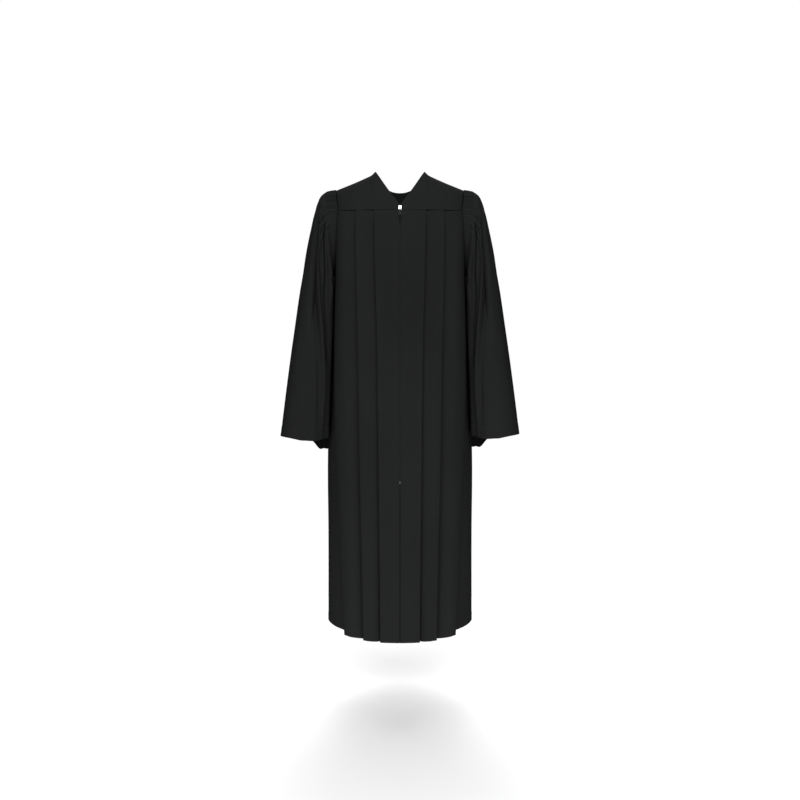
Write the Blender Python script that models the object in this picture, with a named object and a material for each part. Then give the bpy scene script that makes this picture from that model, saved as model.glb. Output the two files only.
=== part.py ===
"""Judge robe, worn or filled-out form with no wearer: pleated fronts and back on shoulder yokes, bell sleeves,
a long front zip. Metres, +Z up. The robe faces -Y and the wearer's left is +X. The origin is midway between the
two neck points, on the line over the shoulders."""

import math

import bmesh
import bpy
import numpy as np
from mathutils import Vector

# Cloth and seams
WALL = 0.0012
SEAM_GAP = 0.0003
HALF_WALL = WALL / 2
CLOTH_COLOUR = (0.012, 0.012, 0.013)
CLOTH_ROUGHNESS = 0.75
METAL_COLOUR = (0.62, 0.62, 0.64)
METAL_ROUGHNESS = 0.3

# Neck and shoulders. The bows are how far the V's edge and the shoulder line sag between their ends.
NECK_HALF = 0.0715
NECK_TIP_RISE = 0.006
NECK_TIP_WIDTH = 0.0067
V_POINT_Z = -0.098
V_NECK_BOW = 0.0018
BACK_NECK_DROP = 0.048
SHOULDER_HALF = 0.1835
SHOULDER_DROP = 0.048
SHOULDER_BOW = 0.0015

# Yoke seams and hem
FRONT_SEAM_Z = -0.112
BACK_SEAM_Z = -0.128
HEM_Z = -1.319
HEM_SIDE_RISE = 0.0225
HEM_ROUNDNESS = 2.6

# Armhole, an upright oval at each side of the body
ARMHOLE_TOP_Z = -SHOULDER_DROP
UNDERARM_Z = -0.300
ARMHOLE_HALF_DEPTH = 0.062
ARMHOLE_MID_Z = (ARMHOLE_TOP_Z + UNDERARM_Z) / 2
ARMHOLE_HALF_HEIGHT = (ARMHOLE_TOP_Z - UNDERARM_Z) / 2
ARMHOLE_INSET = 0.003
INSET_FADE_HEIGHT = 0.25
INSET_FROM_SHARE = 0.8
SHOULDER_TIP_BLEND = 0.05

# Zip
ZIP_HALF_GAP = 0.0010
ZIP_END_Z = -0.886
ZIP_CLOSING_LENGTH = 0.030
TAPE_WIDTH = 0.012
TAPE_WALL = 0.0010
SLIDER_Z = -0.107
SLIDER_WIDTH = 0.0075
SLIDER_LENGTH = 0.0130
SLIDER_PLATE = 0.0012
SLIDER_CORNER = 0.0022
POST_WIDTH = 0.0012
POST_LENGTH = 0.0090
JOIN_DEPTH = 0.0004
BRIDGE_WIDTH = 0.0026
BRIDGE_LENGTH = 0.0060
BRIDGE_LEG = 0.0011
BRIDGE_CROWN = 0.0008
BRIDGE_ROOM = 0.0019
BRIDGE_CHAMFER = 0.0008
TAB_WIDTH = 0.0062
TAB_LENGTH = 0.0220
TAB_WALL = 0.0010
TAB_BAR = 0.0012
TAB_EYE_LENGTH = 0.0042
TAB_EYE_HALF_WIDTH = 0.0018
TAB_CORNER = 0.0011
STOP_WIDTH = 0.0012
STOP_LENGTH = 0.0060
STOP_RISE = 0.0030
STOP_PROUD = 0.0005

# A knife pleat's folded edge is rounded to this. The panel beyond it comes up from under the fold, sunk by
# these shares of the step under the fold, midway across and where the next pleat's lap starts.
FOLD_RADIUS = 0.0016
SUNK_UNDER_FOLD = 0.95
SUNK_MIDWAY = 0.30
SUNK_AT_LAP = 0.06

# Heights of the rings of points down the body, from the yoke seams to the hem
BODY_HEIGHTS = (-0.140, -0.170, -0.205, -0.240, -0.276, -0.300, -0.360, -0.450, -0.560, -0.700,
                -0.890, -1.040, -1.190, -1.319)


def table(names, *rows):
    """Rows of numbers as dictionaries under the named columns."""
    return [dict(zip(names.split(), row)) for row in rows]


# The body's outline at each height: half width, depth to the front and back, and how square its corners are
BODY = table(
    "height half_width front back square",
    (-0.000, 0.1885, 0.060, 0.050, 3.6),
    (-0.112, 0.1885, 0.091, 0.094, 3.9),
    (-0.170, 0.1885, 0.102, 0.104, 4.3),
    (-0.300, 0.1880, 0.120, 0.112, 4.0),
    (-0.400, 0.1920, 0.126, 0.115, 3.6),
    (-0.500, 0.1965, 0.131, 0.120, 3.2),
    (-0.650, 0.2035, 0.142, 0.132, 2.8),
    (-0.800, 0.2098, 0.155, 0.147, 2.5),
    (-1.050, 0.2085, 0.174, 0.168, 2.2),
    (-1.319, 0.2075, 0.192, 0.186, 2.25),
)

# The three knife pleats of each side of the front: how far out each folded edge lies, how deep its step is,
# and how far the cloth runs back under it
FRONT_PLEATS = table(
    "height edge_1 edge_2 edge_3 step_1 step_2 step_3 lap",
    (-0.112, 0.0735, 0.1275, 0.1800, 0.0044, 0.0044, 0.0044, 0.016),
    (-0.170, 0.0730, 0.1270, 0.1810, 0.0044, 0.0046, 0.0048, 0.017),
    (-0.300, 0.0700, 0.1245, 0.1835, 0.0046, 0.0052, 0.0060, 0.018),
    (-0.500, 0.0645, 0.1198, 0.1880, 0.0050, 0.0070, 0.0090, 0.020),
    (-0.800, 0.0610, 0.1145, 0.1840, 0.0060, 0.0105, 0.0150, 0.023),
    (-1.050, 0.0580, 0.1085, 0.1700, 0.0070, 0.0130, 0.0210, 0.025),
    (-1.319, 0.0550, 0.1022, 0.1560, 0.0080, 0.0150, 0.0270, 0.027),
)

BACK_PLEATS = table(
    "height edge_1 edge_2 edge_3 step_1 step_2 step_3 lap",
    (-0.128, 0.0560, 0.1080, 0.1640, 0.0044, 0.0044, 0.0044, 0.016),
    (-0.300, 0.0560, 0.1090, 0.1680, 0.0048, 0.0054, 0.0060, 0.018),
    (-0.500, 0.0540, 0.1070, 0.1690, 0.0054, 0.0074, 0.0090, 0.020),
    (-0.800, 0.0520, 0.1030, 0.1640, 0.0070, 0.0110, 0.0150, 0.023),
    (-1.050, 0.0490, 0.0970, 0.1560, 0.0085, 0.0140, 0.0200, 0.025),
    (-1.319, 0.0460, 0.0910, 0.1450, 0.0100, 0.0170, 0.0240, 0.027),
)

# Points of the last panel, from the third fold to the side: the share of the way across, and how far it is sunk
SIDE_PANEL = table("across sunk", (0.33, 0.70), (0.67, 0.30), (1.00, 0.00))

# Rings of the sleeve from just off the armhole to the cuff. Each is an oval between its outermost point, outer_x
# and outer_z, and its innermost one, and it reaches front and back from the middle. Where roundness is under 1 its
# inner side is flattened, as it hangs against the body.
SLEEVE_RINGS = table(
    "outer_x outer_z inner_x inner_z front back roundness",
    (0.2070, -0.0520, 0.1893, -0.3020, 0.0700, 0.0705, 1.00),
    (0.2265, -0.0640, 0.1896, -0.3055, 0.0765, 0.0780, 1.00),
    (0.2375, -0.0800, 0.1899, -0.3095, 0.0800, 0.0825, 1.00),
    (0.2460, -0.1120, 0.1903, -0.3145, 0.0825, 0.0860, 0.95),
    (0.2565, -0.1600, 0.1908, -0.3215, 0.0850, 0.0890, 0.90),
    (0.2690, -0.2200, 0.1914, -0.3310, 0.0870, 0.0920, 0.85),
    (0.2800, -0.2840, 0.1921, -0.3430, 0.0885, 0.0945, 0.80),
    (0.2890, -0.3380, 0.1929, -0.3600, 0.0900, 0.0965, 0.75),
    (0.2985, -0.4050, 0.1941, -0.3930, 0.0920, 0.0990, 0.70),
    (0.3095, -0.4860, 0.1970, -0.4560, 0.0948, 0.1018, 0.60),
    (0.3225, -0.5800, 0.2021, -0.5600, 0.0980, 0.1050, 0.50),
    (0.3350, -0.6750, 0.2067, -0.6650, 0.1010, 0.1090, 0.50),
    (0.3458, -0.7600, 0.2108, -0.7600, 0.1040, 0.1130, 0.50),
)
SLEEVE_COLUMNS = 48
SLEEVE_EDGE_LEAN = 1.9 * WALL

# How far the cuff hangs below its outer corner: angle is from the outermost line, below 0 at the front
CUFF_DROPS = table("angle drop spread", (-105, 0.0095, 35), (105, 0.0360, 18), (139, 0.0470, 29))

GATHER_FADE = 0.25
# Gathers that fall from the sleeve head. turn_top and turn_end are how far round from the outermost line each
# lies, in degrees, below 0 at the front; width is in degrees too. starts and ends are shares of the way down.
GATHERS = table(
    "turn_top turn_end height width starts ends",
    (10, -85, 0.0025, 10, 0.10, 0.50),
    (18, -145, -0.0040, 13, 0.10, 0.65),
    (-31, -150, 0.0055, 11, 0.08, 0.95),
    (-50, -175, -0.0045, 9, 0.08, 0.85),
    (-64, -230, 0.0050, 10, 0.08, 0.60),
    (2, 40, 0.0030, 10, 0.10, 0.45),
    (16, 105, -0.0040, 12, 0.10, 0.60),
    (34, 146, 0.0055, 11, 0.08, 0.90),
    (54, 172, -0.0045, 9, 0.08, 0.80),
    (70, 222, 0.0045, 10, 0.08, 0.60),
)


def clamped(share):
    return min(1.0, max(0.0, share))


def at_height(rows, name, height):
    """The named column at this height, on a smooth curve through the table's rows."""
    heights = [-row["height"] for row in rows]
    values = [row[name] for row in rows]
    depth = min(max(-height, heights[0]), heights[-1])
    last = len(rows) - 1
    k = min(max(int(np.searchsorted(heights, depth)) - 1, 0), last - 1)
    slope = [(values[i + 1] - values[i]) / (heights[i + 1] - heights[i]) for i in range(last)]
    bend = [slope[0]] + [(slope[i - 1] + slope[i]) / 2 for i in range(1, last)] + [slope[-1]]
    span = heights[k + 1] - heights[k]
    t = (depth - heights[k]) / span
    return (values[k] * (1 + 2 * t) * (1 - t) ** 2 + values[k + 1] * t * t * (3 - 2 * t)
            + span * (bend[k] * t * (1 - t) ** 2 - bend[k + 1] * t * t * (1 - t)))


class Outline:
    """A quarter of the body's outline seen from above, from its centre line out to the side, facing -Y."""

    def __init__(self, height, depth_name):
        self.half_width = at_height(BODY, "half_width", height)
        self.depth = at_height(BODY, depth_name, height)
        self.square = at_height(BODY, "square", height)
        turn = np.linspace(0, math.pi / 2, 400)
        sine, cosine = np.sin(turn), np.cos(turn)
        reach = ((sine / self.half_width) ** self.square
                 + (cosine / self.depth) ** self.square) ** (-1 / self.square)
        self.x, self.y = reach * sine, -reach * cosine
        self.run = np.concatenate([[0], np.cumsum(np.hypot(np.diff(self.x), np.diff(self.y)))])

    def run_at_x(self, x):
        return float(np.interp(x, self.x, self.run))

    def run_at_y(self, y):
        return float(np.interp(y, self.y, self.run))

    def point(self, run, lift):
        """The point this far along the outline, lifted outwards from it."""
        step = 0.002
        x, y = np.interp(run, self.run, self.x), np.interp(run, self.run, self.y)
        before, after = max(run - step, 0), min(run + step, self.run[-1])
        across = (np.interp(after, self.run, self.x) - np.interp(before, self.run, self.x))
        along = (np.interp(after, self.run, self.y) - np.interp(before, self.run, self.y))
        size = math.hypot(across, along)
        return x + lift * along / size, y - lift * across / size


def armhole_point(angle):
    """Depth and height of the armhole's point at this angle round from its top."""
    turn = math.radians(angle)
    return ARMHOLE_HALF_DEPTH * math.sin(turn), ARMHOLE_MID_Z + ARMHOLE_HALF_HEIGHT * math.cos(turn)


def armhole_depth(height):
    level = min(1.0, abs(height - ARMHOLE_MID_Z) / ARMHOLE_HALF_HEIGHT)
    return ARMHOLE_HALF_DEPTH * math.sqrt(1 - level * level)


def side_run(outline, height):
    """Where the panel ends along its outline: on the armhole above the underarm, and at the side seam below."""
    if height <= UNDERARM_Z:
        return outline.run[-1] - SEAM_GAP / 2
    return outline.run_at_y(-max(armhole_depth(height), SEAM_GAP))


def side_lift(height):
    """The panel's edge lies a little inside the outline round the armhole, and on it lower down."""
    return -ARMHOLE_INSET * (1 - clamped((UNDERARM_Z - height) / INSET_FADE_HEIGHT))


def pleated_section(height, depth_name, pleats, start):
    """The cloth's middle line at this height, seen from above, from the centre to the armhole or side seam."""
    outline = Outline(height, depth_name)
    lap = at_height(pleats, "lap", height)
    line = [(start, 0.0)]
    came_from, step_before = start, 0.0
    for number in ("1", "2", "3"):
        edge = outline.run_at_x(at_height(pleats, "edge_" + number, height))
        step = at_height(pleats, "step_" + number, height)
        fold = min(step / 4, FOLD_RADIUS)
        flat = edge - lap
        middle = (came_from + flat) / 2
        line += [(middle, -SUNK_MIDWAY * step_before), (flat, -SUNK_AT_LAP * step_before), (edge - lap / 2, 0)]
        line += [(edge - fold, 0), (edge, -fold), (edge - fold, -2 * fold)]
        line += [(edge - lap / 2, -step / 2)]
        line += [(flat + fold, 2 * fold - step), (flat, fold - step), (flat + fold, -step)]
        line += [(edge - lap / 2, -step), (edge, -SUNK_UNDER_FOLD * step)]
        came_from, step_before = edge, step
    end, lift = side_run(outline, height), side_lift(height)
    for place in SIDE_PANEL:
        rise = -place["sunk"] * SUNK_UNDER_FOLD * step_before + (1 - place["sunk"]) * lift
        line.append((came_from + place["across"] * (end - came_from), rise))
    return [outline.point(run, rise) for run, rise in line]


def offset_line(line, distance):
    """The line moved sideways to its right by this distance, with mitred corners."""
    moved = []
    for i, (x, y) in enumerate(line):
        before, after = line[max(i - 1, 0)], line[min(i + 1, len(line) - 1)]
        sides = []
        for a, b in ((before, (x, y)), ((x, y), after)):
            length = math.hypot(b[0] - a[0], b[1] - a[1])
            if length > 1e-9:
                sides.append(((b[1] - a[1]) / length, -(b[0] - a[0]) / length))
        across = (sum(s[0] for s in sides) / len(sides), sum(s[1] for s in sides) / len(sides))
        size = max(across[0] ** 2 + across[1] ** 2, 0.4)
        moved.append((x + distance * across[0] / size, y + distance * across[1] / size))
    return moved


def hem_rise(x, height, top):
    """How much higher than the centre the cloth hangs towards the side, all of it at the hem."""
    down = (top - height) / (top - HEM_Z)
    return HEM_SIDE_RISE * (abs(x) / BODY[-1]["half_width"]) ** HEM_ROUNDNESS * down ** 4


def make_object(name, points, faces, colour, roughness, metallic=0.0, smooth=40):
    mesh = bpy.data.meshes.new(name)
    mesh.from_pydata([tuple(p) for p in points], [], faces)
    shape = bmesh.new()
    shape.from_mesh(mesh)
    bmesh.ops.recalc_face_normals(shape, faces=shape.faces)
    shape.to_mesh(mesh)
    shape.free()
    mesh.shade_smooth()
    mesh.set_sharp_from_angle(angle=math.radians(smooth))
    mesh.materials.append(make_material(name, colour, roughness, metallic))
    made = bpy.data.objects.new(name, mesh)
    bpy.context.scene.collection.objects.link(made)
    return made


def make_material(name, colour, roughness, metallic):
    material = bpy.data.materials.new(name)
    material.use_nodes = True
    shader = material.node_tree.nodes["Principled BSDF"]
    shader.inputs["Base Color"].default_value = (*colour, 1)
    shader.inputs["Roughness"].default_value = roughness
    shader.inputs["Metallic"].default_value = metallic
    return material


def cloth(name, points, faces):
    return make_object(name, points, faces, CLOTH_COLOUR, CLOTH_ROUGHNESS)


def metal(name, points, faces):
    return make_object(name, points, faces, METAL_COLOUR, METAL_ROUGHNESS, metallic=1.0, smooth=30)


def wall_from_rows(outer, inner):
    """Points and faces of a closed wall between two grids of points with the same rows and columns."""
    rows, columns = len(outer), len(outer[0])
    points = [p for row in outer for p in row] + [p for row in inner for p in row]
    half = rows * columns
    faces = []
    for r in range(rows - 1):
        for c in range(columns - 1):
            a = r * columns + c
            outwards = abs(outer[r][c + 1][0]) >= abs(outer[r][c][0])
            for triangle in split((a, a + 1, a + columns + 1, a + columns), outwards):
                faces.append(triangle)
                faces.append(tuple(half + i for i in reversed(triangle)))
    rim = list(range(columns))
    rim += [r * columns + columns - 1 for r in range(1, rows)]
    rim += [(rows - 1) * columns + c for c in range(columns - 2, -1, -1)]
    rim += [r * columns for r in range(rows - 2, 0, -1)]
    for a, b in zip(rim, rim[1:] + rim[:1]):
        faces.append((b, a, half + a, half + b))
    return points, faces


def split(quad, through_first):
    """The quad as two triangles, cut through its first and third corners or through its second and fourth."""
    a, b, c, d = quad
    return ((a, b, c), (a, c, d)) if through_first else ((a, b, d), (b, c, d))


def mirrored(points, faces):
    return [(-x, y, z) for x, y, z in points], [tuple(reversed(face)) for face in faces]


def panel_rows(depth_name, pleats, top, side, start_at):
    """The outer and inner grids of a pleated half panel, from its yoke seam to the hem. side is 1 for one that
    faces -Y and -1 for one that faces +Y."""
    outer, inner = [], []
    for height in (top - SEAM_GAP,) + tuple(h for h in BODY_HEIGHTS if h < top - 0.01):
        middle = pleated_section(height, depth_name, pleats, start_at(height))
        for grid, distance in ((outer, HALF_WALL), (inner, -HALF_WALL)):
            line = offset_line(middle, distance)
            if height <= UNDERARM_Z:
                line[-1] = (line[-1][0], -SEAM_GAP / 2)
            grid.append([(x, side * y, height + hem_rise(x, height, top)) for x, y in line])
    return outer, inner


def front_start(height):
    """The front edge stands back from the centre along the zip, and meets the other front below its end."""
    opening = clamped((height - ZIP_END_Z) / ZIP_CLOSING_LENGTH + 1)
    return SEAM_GAP / 2 + opening * (ZIP_HALF_GAP - SEAM_GAP / 2)


def centre_square(row, edge):
    """Brings a row's first point onto the centre edge, so that the edge faces its neighbour squarely."""
    return [(edge, row[0][1], row[0][2])] + row[1:]


def build_fronts():
    outer, inner = panel_rows("front", FRONT_PLEATS, FRONT_SEAM_Z, 1, front_start)
    outer = [centre_square(row, front_start(row[0][2])) for row in outer]
    inner = [centre_square(row, front_start(row[0][2])) for row in inner]
    points, faces = wall_from_rows(outer, inner)
    cloth("front_left", points, faces)
    cloth("front_right", *mirrored(points, faces))


def build_back():
    """One back panel: the half section and its mirror image, joined at the centre line."""
    grids = []
    for grid in panel_rows("back", BACK_PLEATS, BACK_SEAM_Z, -1, lambda height: 0.0):
        whole = []
        for row in grid:
            centre = (0.0, row[0][1], row[0][2])
            whole.append([(-x, y, z) for x, y, z in reversed(row[1:])] + [centre] + row[1:])
        grids.append(whole)
    cloth("back_panel", *wall_from_rows(*grids))


def grid_normals(grid, outwards):
    """A unit normal at each point of the grid, on the side that outwards points to."""
    rows, columns = len(grid), len(grid[0])
    normals = []
    for r in range(rows):
        row = []
        for c in range(columns):
            along = grid[r][min(c + 1, columns - 1)] - grid[r][max(c - 1, 0)]
            down = grid[min(r + 1, rows - 1)][c] - grid[max(r - 1, 0)][c]
            normal = along.cross(down).normalized()
            row.append(normal if normal.dot(outwards) > 0 else -normal)
        normals.append(row)
    return normals


def thick_grid(grid, outwards):
    normals = grid_normals(grid, outwards)
    outer = [[p + n * HALF_WALL for p, n in zip(row, side)] for row, side in zip(grid, normals)]
    inner = [[p - n * HALF_WALL for p, n in zip(row, side)] for row, side in zip(grid, normals)]
    return outer, inner


def armhole_edge(angle, side):
    """The body's edge round the armhole; side is 1 at the front and -1 at the back. Angle is from its top."""
    depth, z = armhole_point(angle)
    outline = Outline(z, "front" if side > 0 else "back")
    x = outline.point(outline.run_at_y(-depth), -ARMHOLE_INSET)[0] if depth > 1e-6 else SHOULDER_HALF
    blend = clamped((ARMHOLE_TOP_Z - z) / SHOULDER_TIP_BLEND)
    return Vector((SHOULDER_HALF * (1 - blend) + x * blend, side * -depth, z))


def angle_at_height(z):
    return math.degrees(math.acos(min(1.0, max(-1.0, (z - ARMHOLE_MID_Z) / ARMHOLE_HALF_HEIGHT))))


YOKE_ROWS = 8
# How far out from the centre the yokes' columns of points stand at their tops
FRONT_YOKE_COLUMNS = (ZIP_HALF_GAP, 0.014, 0.028, 0.043, 0.058, NECK_HALF, 0.080, 0.098, 0.125, 0.155,
                      SHOULDER_HALF)
BACK_YOKE_COLUMNS = (0.0, 0.020, 0.040, 0.056, 0.067, NECK_HALF, 0.080, 0.098, 0.125, 0.155, SHOULDER_HALF)


def v_neck_height(x):
    """Height of the V neck's edge this far out from the centre front."""
    share = (x - ZIP_HALF_GAP) / (NECK_HALF - ZIP_HALF_GAP)
    return V_POINT_Z + share * (NECK_TIP_RISE - V_POINT_Z) - V_NECK_BOW * math.sin(math.pi * share)


def back_neck_height(x):
    """Height of the scooped back neck's edge this far out from the centre back."""
    across = min(1.0, x / NECK_HALF)
    return NECK_TIP_RISE - (NECK_TIP_RISE + BACK_NECK_DROP) * (1 - across ** 2.2) ** 0.8


def shoulder_height(x):
    """Height of the line over the shoulders, level inside the neck and falling to the shoulder tip outside."""
    out = max(0.0, x - NECK_HALF)
    share = out / (SHOULDER_HALF - NECK_HALF)
    tip = NECK_TIP_RISE * math.exp(-(out / NECK_TIP_WIDTH) ** 2)
    return tip - SHOULDER_DROP * share - SHOULDER_BOW * math.sin(math.pi * share)


def yoke_column(x, seam_z, depth_name, neck_height, side):
    """Points down the yoke from the shoulder seam or neck edge to the yoke seam. Each column rounds over the
    shoulder as the armhole does."""
    outline = Outline(seam_z, depth_name)
    share = x / SHOULDER_HALF
    inset = ARMHOLE_INSET * clamped((share - INSET_FROM_SHARE) / (1 - INSET_FROM_SHARE)) ** 2
    bottom_x, bottom_y = outline.point(share * side_run(outline, seam_z), -inset)
    turn = math.radians(angle_at_height(seam_z))
    top = shoulder_height(x)
    fall = top - seam_z
    start = 0.0
    if x < NECK_HALF:
        start = math.acos(1 - (top - neck_height(x)) / fall * (1 - math.cos(turn))) / turn
    column = []
    for r in range(YOKE_ROWS):
        t = start + (1 - start) * r / (YOKE_ROWS - 1)
        out = bottom_y * math.sin(t * turn) / math.sin(turn)
        z = top - fall * (1 - math.cos(t * turn)) / (1 - math.cos(turn))
        column.append(Vector((x + (bottom_x - x) * (out / bottom_y) ** 2, side * out, z)))
    return column


def yoke_grid(columns, seam_z, depth_name, neck_height, side):
    rows = [yoke_column(x, seam_z, depth_name, neck_height, side) for x in columns]
    return [[column[r] for column in rows] for r in range(YOKE_ROWS)]


def trimmed_edges(grid, columns, seam_z, shoulder_y):
    """Squares the yoke's shoulder edge and seam edge, so that they face their neighbours across the gap."""
    for c, x in enumerate(columns):
        if abs(x) > NECK_HALF - 1e-6:
            grid[0][c].y = shoulder_y
    for point in grid[-1]:
        point.z = seam_z


def build_front_yokes():
    grid = yoke_grid(FRONT_YOKE_COLUMNS, FRONT_SEAM_Z, "front", v_neck_height, 1)
    outer, inner = thick_grid(grid, Vector((0, -1, 0.6)))
    for side in (outer, inner):
        trimmed_edges(side, FRONT_YOKE_COLUMNS, FRONT_SEAM_Z, -SEAM_GAP / 2)
        for row in side:
            row[0].x = ZIP_HALF_GAP
    points, faces = wall_from_rows(outer, inner)
    cloth("front_yoke_left", points, faces)
    cloth("front_yoke_right", *mirrored(points, faces))


def build_back_yoke():
    half = yoke_grid(BACK_YOKE_COLUMNS, BACK_SEAM_Z, "back", back_neck_height, -1)
    grid = [[Vector((-p.x, p.y, p.z)) for p in reversed(row[1:])] + row for row in half]
    columns = [-x for x in reversed(BACK_YOKE_COLUMNS[1:])] + list(BACK_YOKE_COLUMNS)
    outer, inner = thick_grid(grid, Vector((0, 1, 0.6)))
    for side in (outer, inner):
        trimmed_edges(side, columns, BACK_SEAM_Z, SEAM_GAP / 2)
    cloth("back_yoke", *wall_from_rows(outer, inner))


def sleeve_edge(angle, side):
    """The sleeve's own edge, just inside and outside the body's armhole edge. Angle is from its top."""
    edge = armhole_edge(angle, side)
    shrink = 1 - HALF_WALL / ARMHOLE_HALF_DEPTH
    lean = SLEEVE_EDGE_LEAN * math.sin(math.radians(min(angle, 90)))
    z = ARMHOLE_MID_Z + (edge.z - ARMHOLE_MID_Z) * shrink
    return Vector((edge.x + SEAM_GAP + lean, edge.y * shrink, z))


def ring_point(row, turn):
    """The middle of the wall on one ring, at this angle from its outermost point, below 0 at the front."""
    across, along = math.cos(turn), math.sin(turn)
    if across < 0:
        across = -((-across) ** row["roundness"])
        along = math.copysign(abs(along) ** ((1 + row["roundness"]) / 2), along)
    outer = Vector((row["outer_x"], 0, row["outer_z"]))
    inner = Vector((row["inner_x"], 0, row["inner_z"]))
    depth = row["front"] if turn < 0 else row["back"]
    return (outer + inner) / 2 + (outer - inner) / 2 * across + Vector((0, depth * along, 0))


def cuff_drop(angle):
    """How far the cuff hangs below its outer corner at this angle round it."""
    drop = 0.0
    for low in CUFF_DROPS:
        away = (angle - low["angle"] + 180) % 360 - 180
        drop += low["drop"] * math.exp(-(away / low["spread"]) ** 2)
    return drop


def gather_height(degrees, down):
    """How far the gathers lift the sleeve at this angle round it and share of the way down."""
    lift = 0.0
    for gather in GATHERS:
        middle = gather["turn_top"] + (gather["turn_end"] - gather["turn_top"]) * down ** 0.8
        rises = clamped(down / gather["starts"])
        fades = clamped((gather["ends"] - down) / GATHER_FADE + 0.5)
        smooth = rises * rises * (3 - 2 * rises) * fades * fades * (3 - 2 * fades)
        lift += gather["height"] * smooth * math.exp(-((degrees - middle) / gather["width"]) ** 2)
    return lift


def build_sleeves():
    turns = [2 * math.pi * c / SLEEVE_COLUMNS - math.pi for c in range(SLEEVE_COLUMNS)]
    rings = [[sleeve_edge(math.degrees(abs(turn)), 1 if turn < 0 else -1) for turn in turns]]
    rings += [[ring_point(row, turn) for turn in turns] for row in SLEEVE_RINGS]
    for point, turn in zip(rings[-1], turns):
        point.z -= cuff_drop(math.degrees(turn))
    points = [p for ring in rings for p in ring]
    faces = [(r * SLEEVE_COLUMNS + c, r * SLEEVE_COLUMNS + (c + 1) % SLEEVE_COLUMNS,
              (r + 1) * SLEEVE_COLUMNS + (c + 1) % SLEEVE_COLUMNS, (r + 1) * SLEEVE_COLUMNS + c)
             for r in range(len(rings) - 1) for c in range(SLEEVE_COLUMNS)]
    outermost = SLEEVE_COLUMNS // 2
    down = [0.0]
    for above, below in zip(rings, rings[1:]):
        down.append(down[-1] + (below[outermost] - above[outermost]).length)
    normals = surface_normals(points, faces)
    for r in range(1, len(rings)):
        for c, turn in enumerate(turns):
            k = r * SLEEVE_COLUMNS + c
            points[k] += normals[k] * gather_height(math.degrees(turn), down[r] / down[-1])
    points, faces = thickened(points, [cut for face in faces for cut in split(face, shorter(points, face))])
    cloth("sleeve_left", points, faces)
    cloth("sleeve_right", *mirrored(points, faces))


def shorter(points, face):
    """Whether a quad's first diagonal is the shorter one."""
    a, b, c, d = (points[i] for i in face)
    return (a - c).length <= (b - d).length


def surface_normals(points, faces):
    """Outward normals of the sleeve's surface, each the mean of the faces round its point."""
    normals = [Vector((0, 0, 0)) for _ in points]
    for face in faces:
        corners = [points[i] for i in face]
        normal = (corners[2] - corners[0]).cross(corners[-1] - corners[1])
        for i in face:
            normals[i] += normal
    middle = sum(points, Vector((0, 0, 0))) / len(points)
    outwards = sum(n.dot(p - middle) for n, p in zip(normals, points))
    sign = 1 if outwards > 0 else -1
    return [n.normalized() * sign if n.length > 0 else n for n in normals]


def thickened(points, faces):
    """A closed wall round a surface: faces moved out and in by half the wall, and rims on its free edges."""
    used = sorted({i for face in faces for i in face})
    place = {old: new for new, old in enumerate(used)}
    points = [points[i] for i in used]
    faces = [tuple(place[i] for i in face) for face in faces]
    normals = surface_normals(points, faces)
    count = len(points)
    both = [p + n * HALF_WALL for p, n in zip(points, normals)]
    both += [p - n * HALF_WALL for p, n in zip(points, normals)]
    edges = {}
    for face in faces:
        for a, b in zip(face, face[1:] + face[:1]):
            edges[(a, b)] = edges.get((a, b), 0) + 1
    free = [(a, b) for a, b in edges if (b, a) not in edges]
    whole = list(faces) + [tuple(count + i for i in reversed(face)) for face in faces]
    whole += [(b, a, count + a, count + b) for a, b in free]
    return [tuple(p) for p in both], whole


def centre_depth(height):
    """Depth of the cloth's middle at the centre front."""
    return -at_height(BODY, "front", height)


def build_tapes():
    """The zip's two tapes, behind the front edges."""
    back_of_cloth = HALF_WALL + SEAM_GAP
    outer, inner = [], []
    for height in (FRONT_SEAM_Z - SEAM_GAP,) + tuple(h for h in BODY_HEIGHTS if h > ZIP_END_Z - 0.01):
        outline = Outline(height, "front")
        for grid, lift in ((outer, -back_of_cloth), (inner, -back_of_cloth - TAPE_WALL)):
            row = []
            for x in (SEAM_GAP / 2, TAPE_WIDTH):
                px, py = outline.point(x, lift)
                row.append((px, py, height))
            grid.append(row)
    points, faces = wall_from_rows(outer, inner)
    cloth("zip_tape_left", points, faces)
    cloth("zip_tape_right", *mirrored(points, faces))


def outline_solid(outline, axis, low, high):
    """Points and faces of an outline of (a, b) pairs drawn across the given axis, from low to high along it."""
    points = []
    for level in (low, high):
        points += [(level, a, b) if axis == "X" else (a, level, b) for a, b in outline]
    count = len(outline)
    faces = [tuple(range(count)), tuple(reversed(range(count, 2 * count)))]
    faces += [((k + 1) % count, k, count + k, count + (k + 1) % count) for k in range(count)]
    return points, faces


def zip_tilt():
    """How far the cloth under the slider leans out from upright."""
    return math.atan2(centre_depth(SLIDER_Z) - centre_depth(SLIDER_Z - 0.03), 0.03)


def hinge_point():
    """The pull tab's axis, in front of the slider's plate."""
    tilt = zip_tilt()
    lift = HALF_WALL + 2 * SEAM_GAP + SLIDER_PLATE + BRIDGE_ROOM / 2
    return Vector((0, centre_depth(SLIDER_Z) - lift / math.cos(tilt), SLIDER_Z))


def rounded_rectangle(half_width, low, high, radius, steps=3):
    """Corner points of a rectangle with round corners, going round once."""
    corners = ((half_width - radius, high - radius, 0), (-half_width + radius, high - radius, 90),
               (-half_width + radius, low + radius, 180), (half_width - radius, low + radius, 270))
    outline = []
    for x, z, start in corners:
        for k in range(steps + 1):
            turn = math.radians(start + 90 * k / steps)
            outline.append((x + radius * math.cos(turn), z + radius * math.sin(turn)))
    return outline


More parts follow.
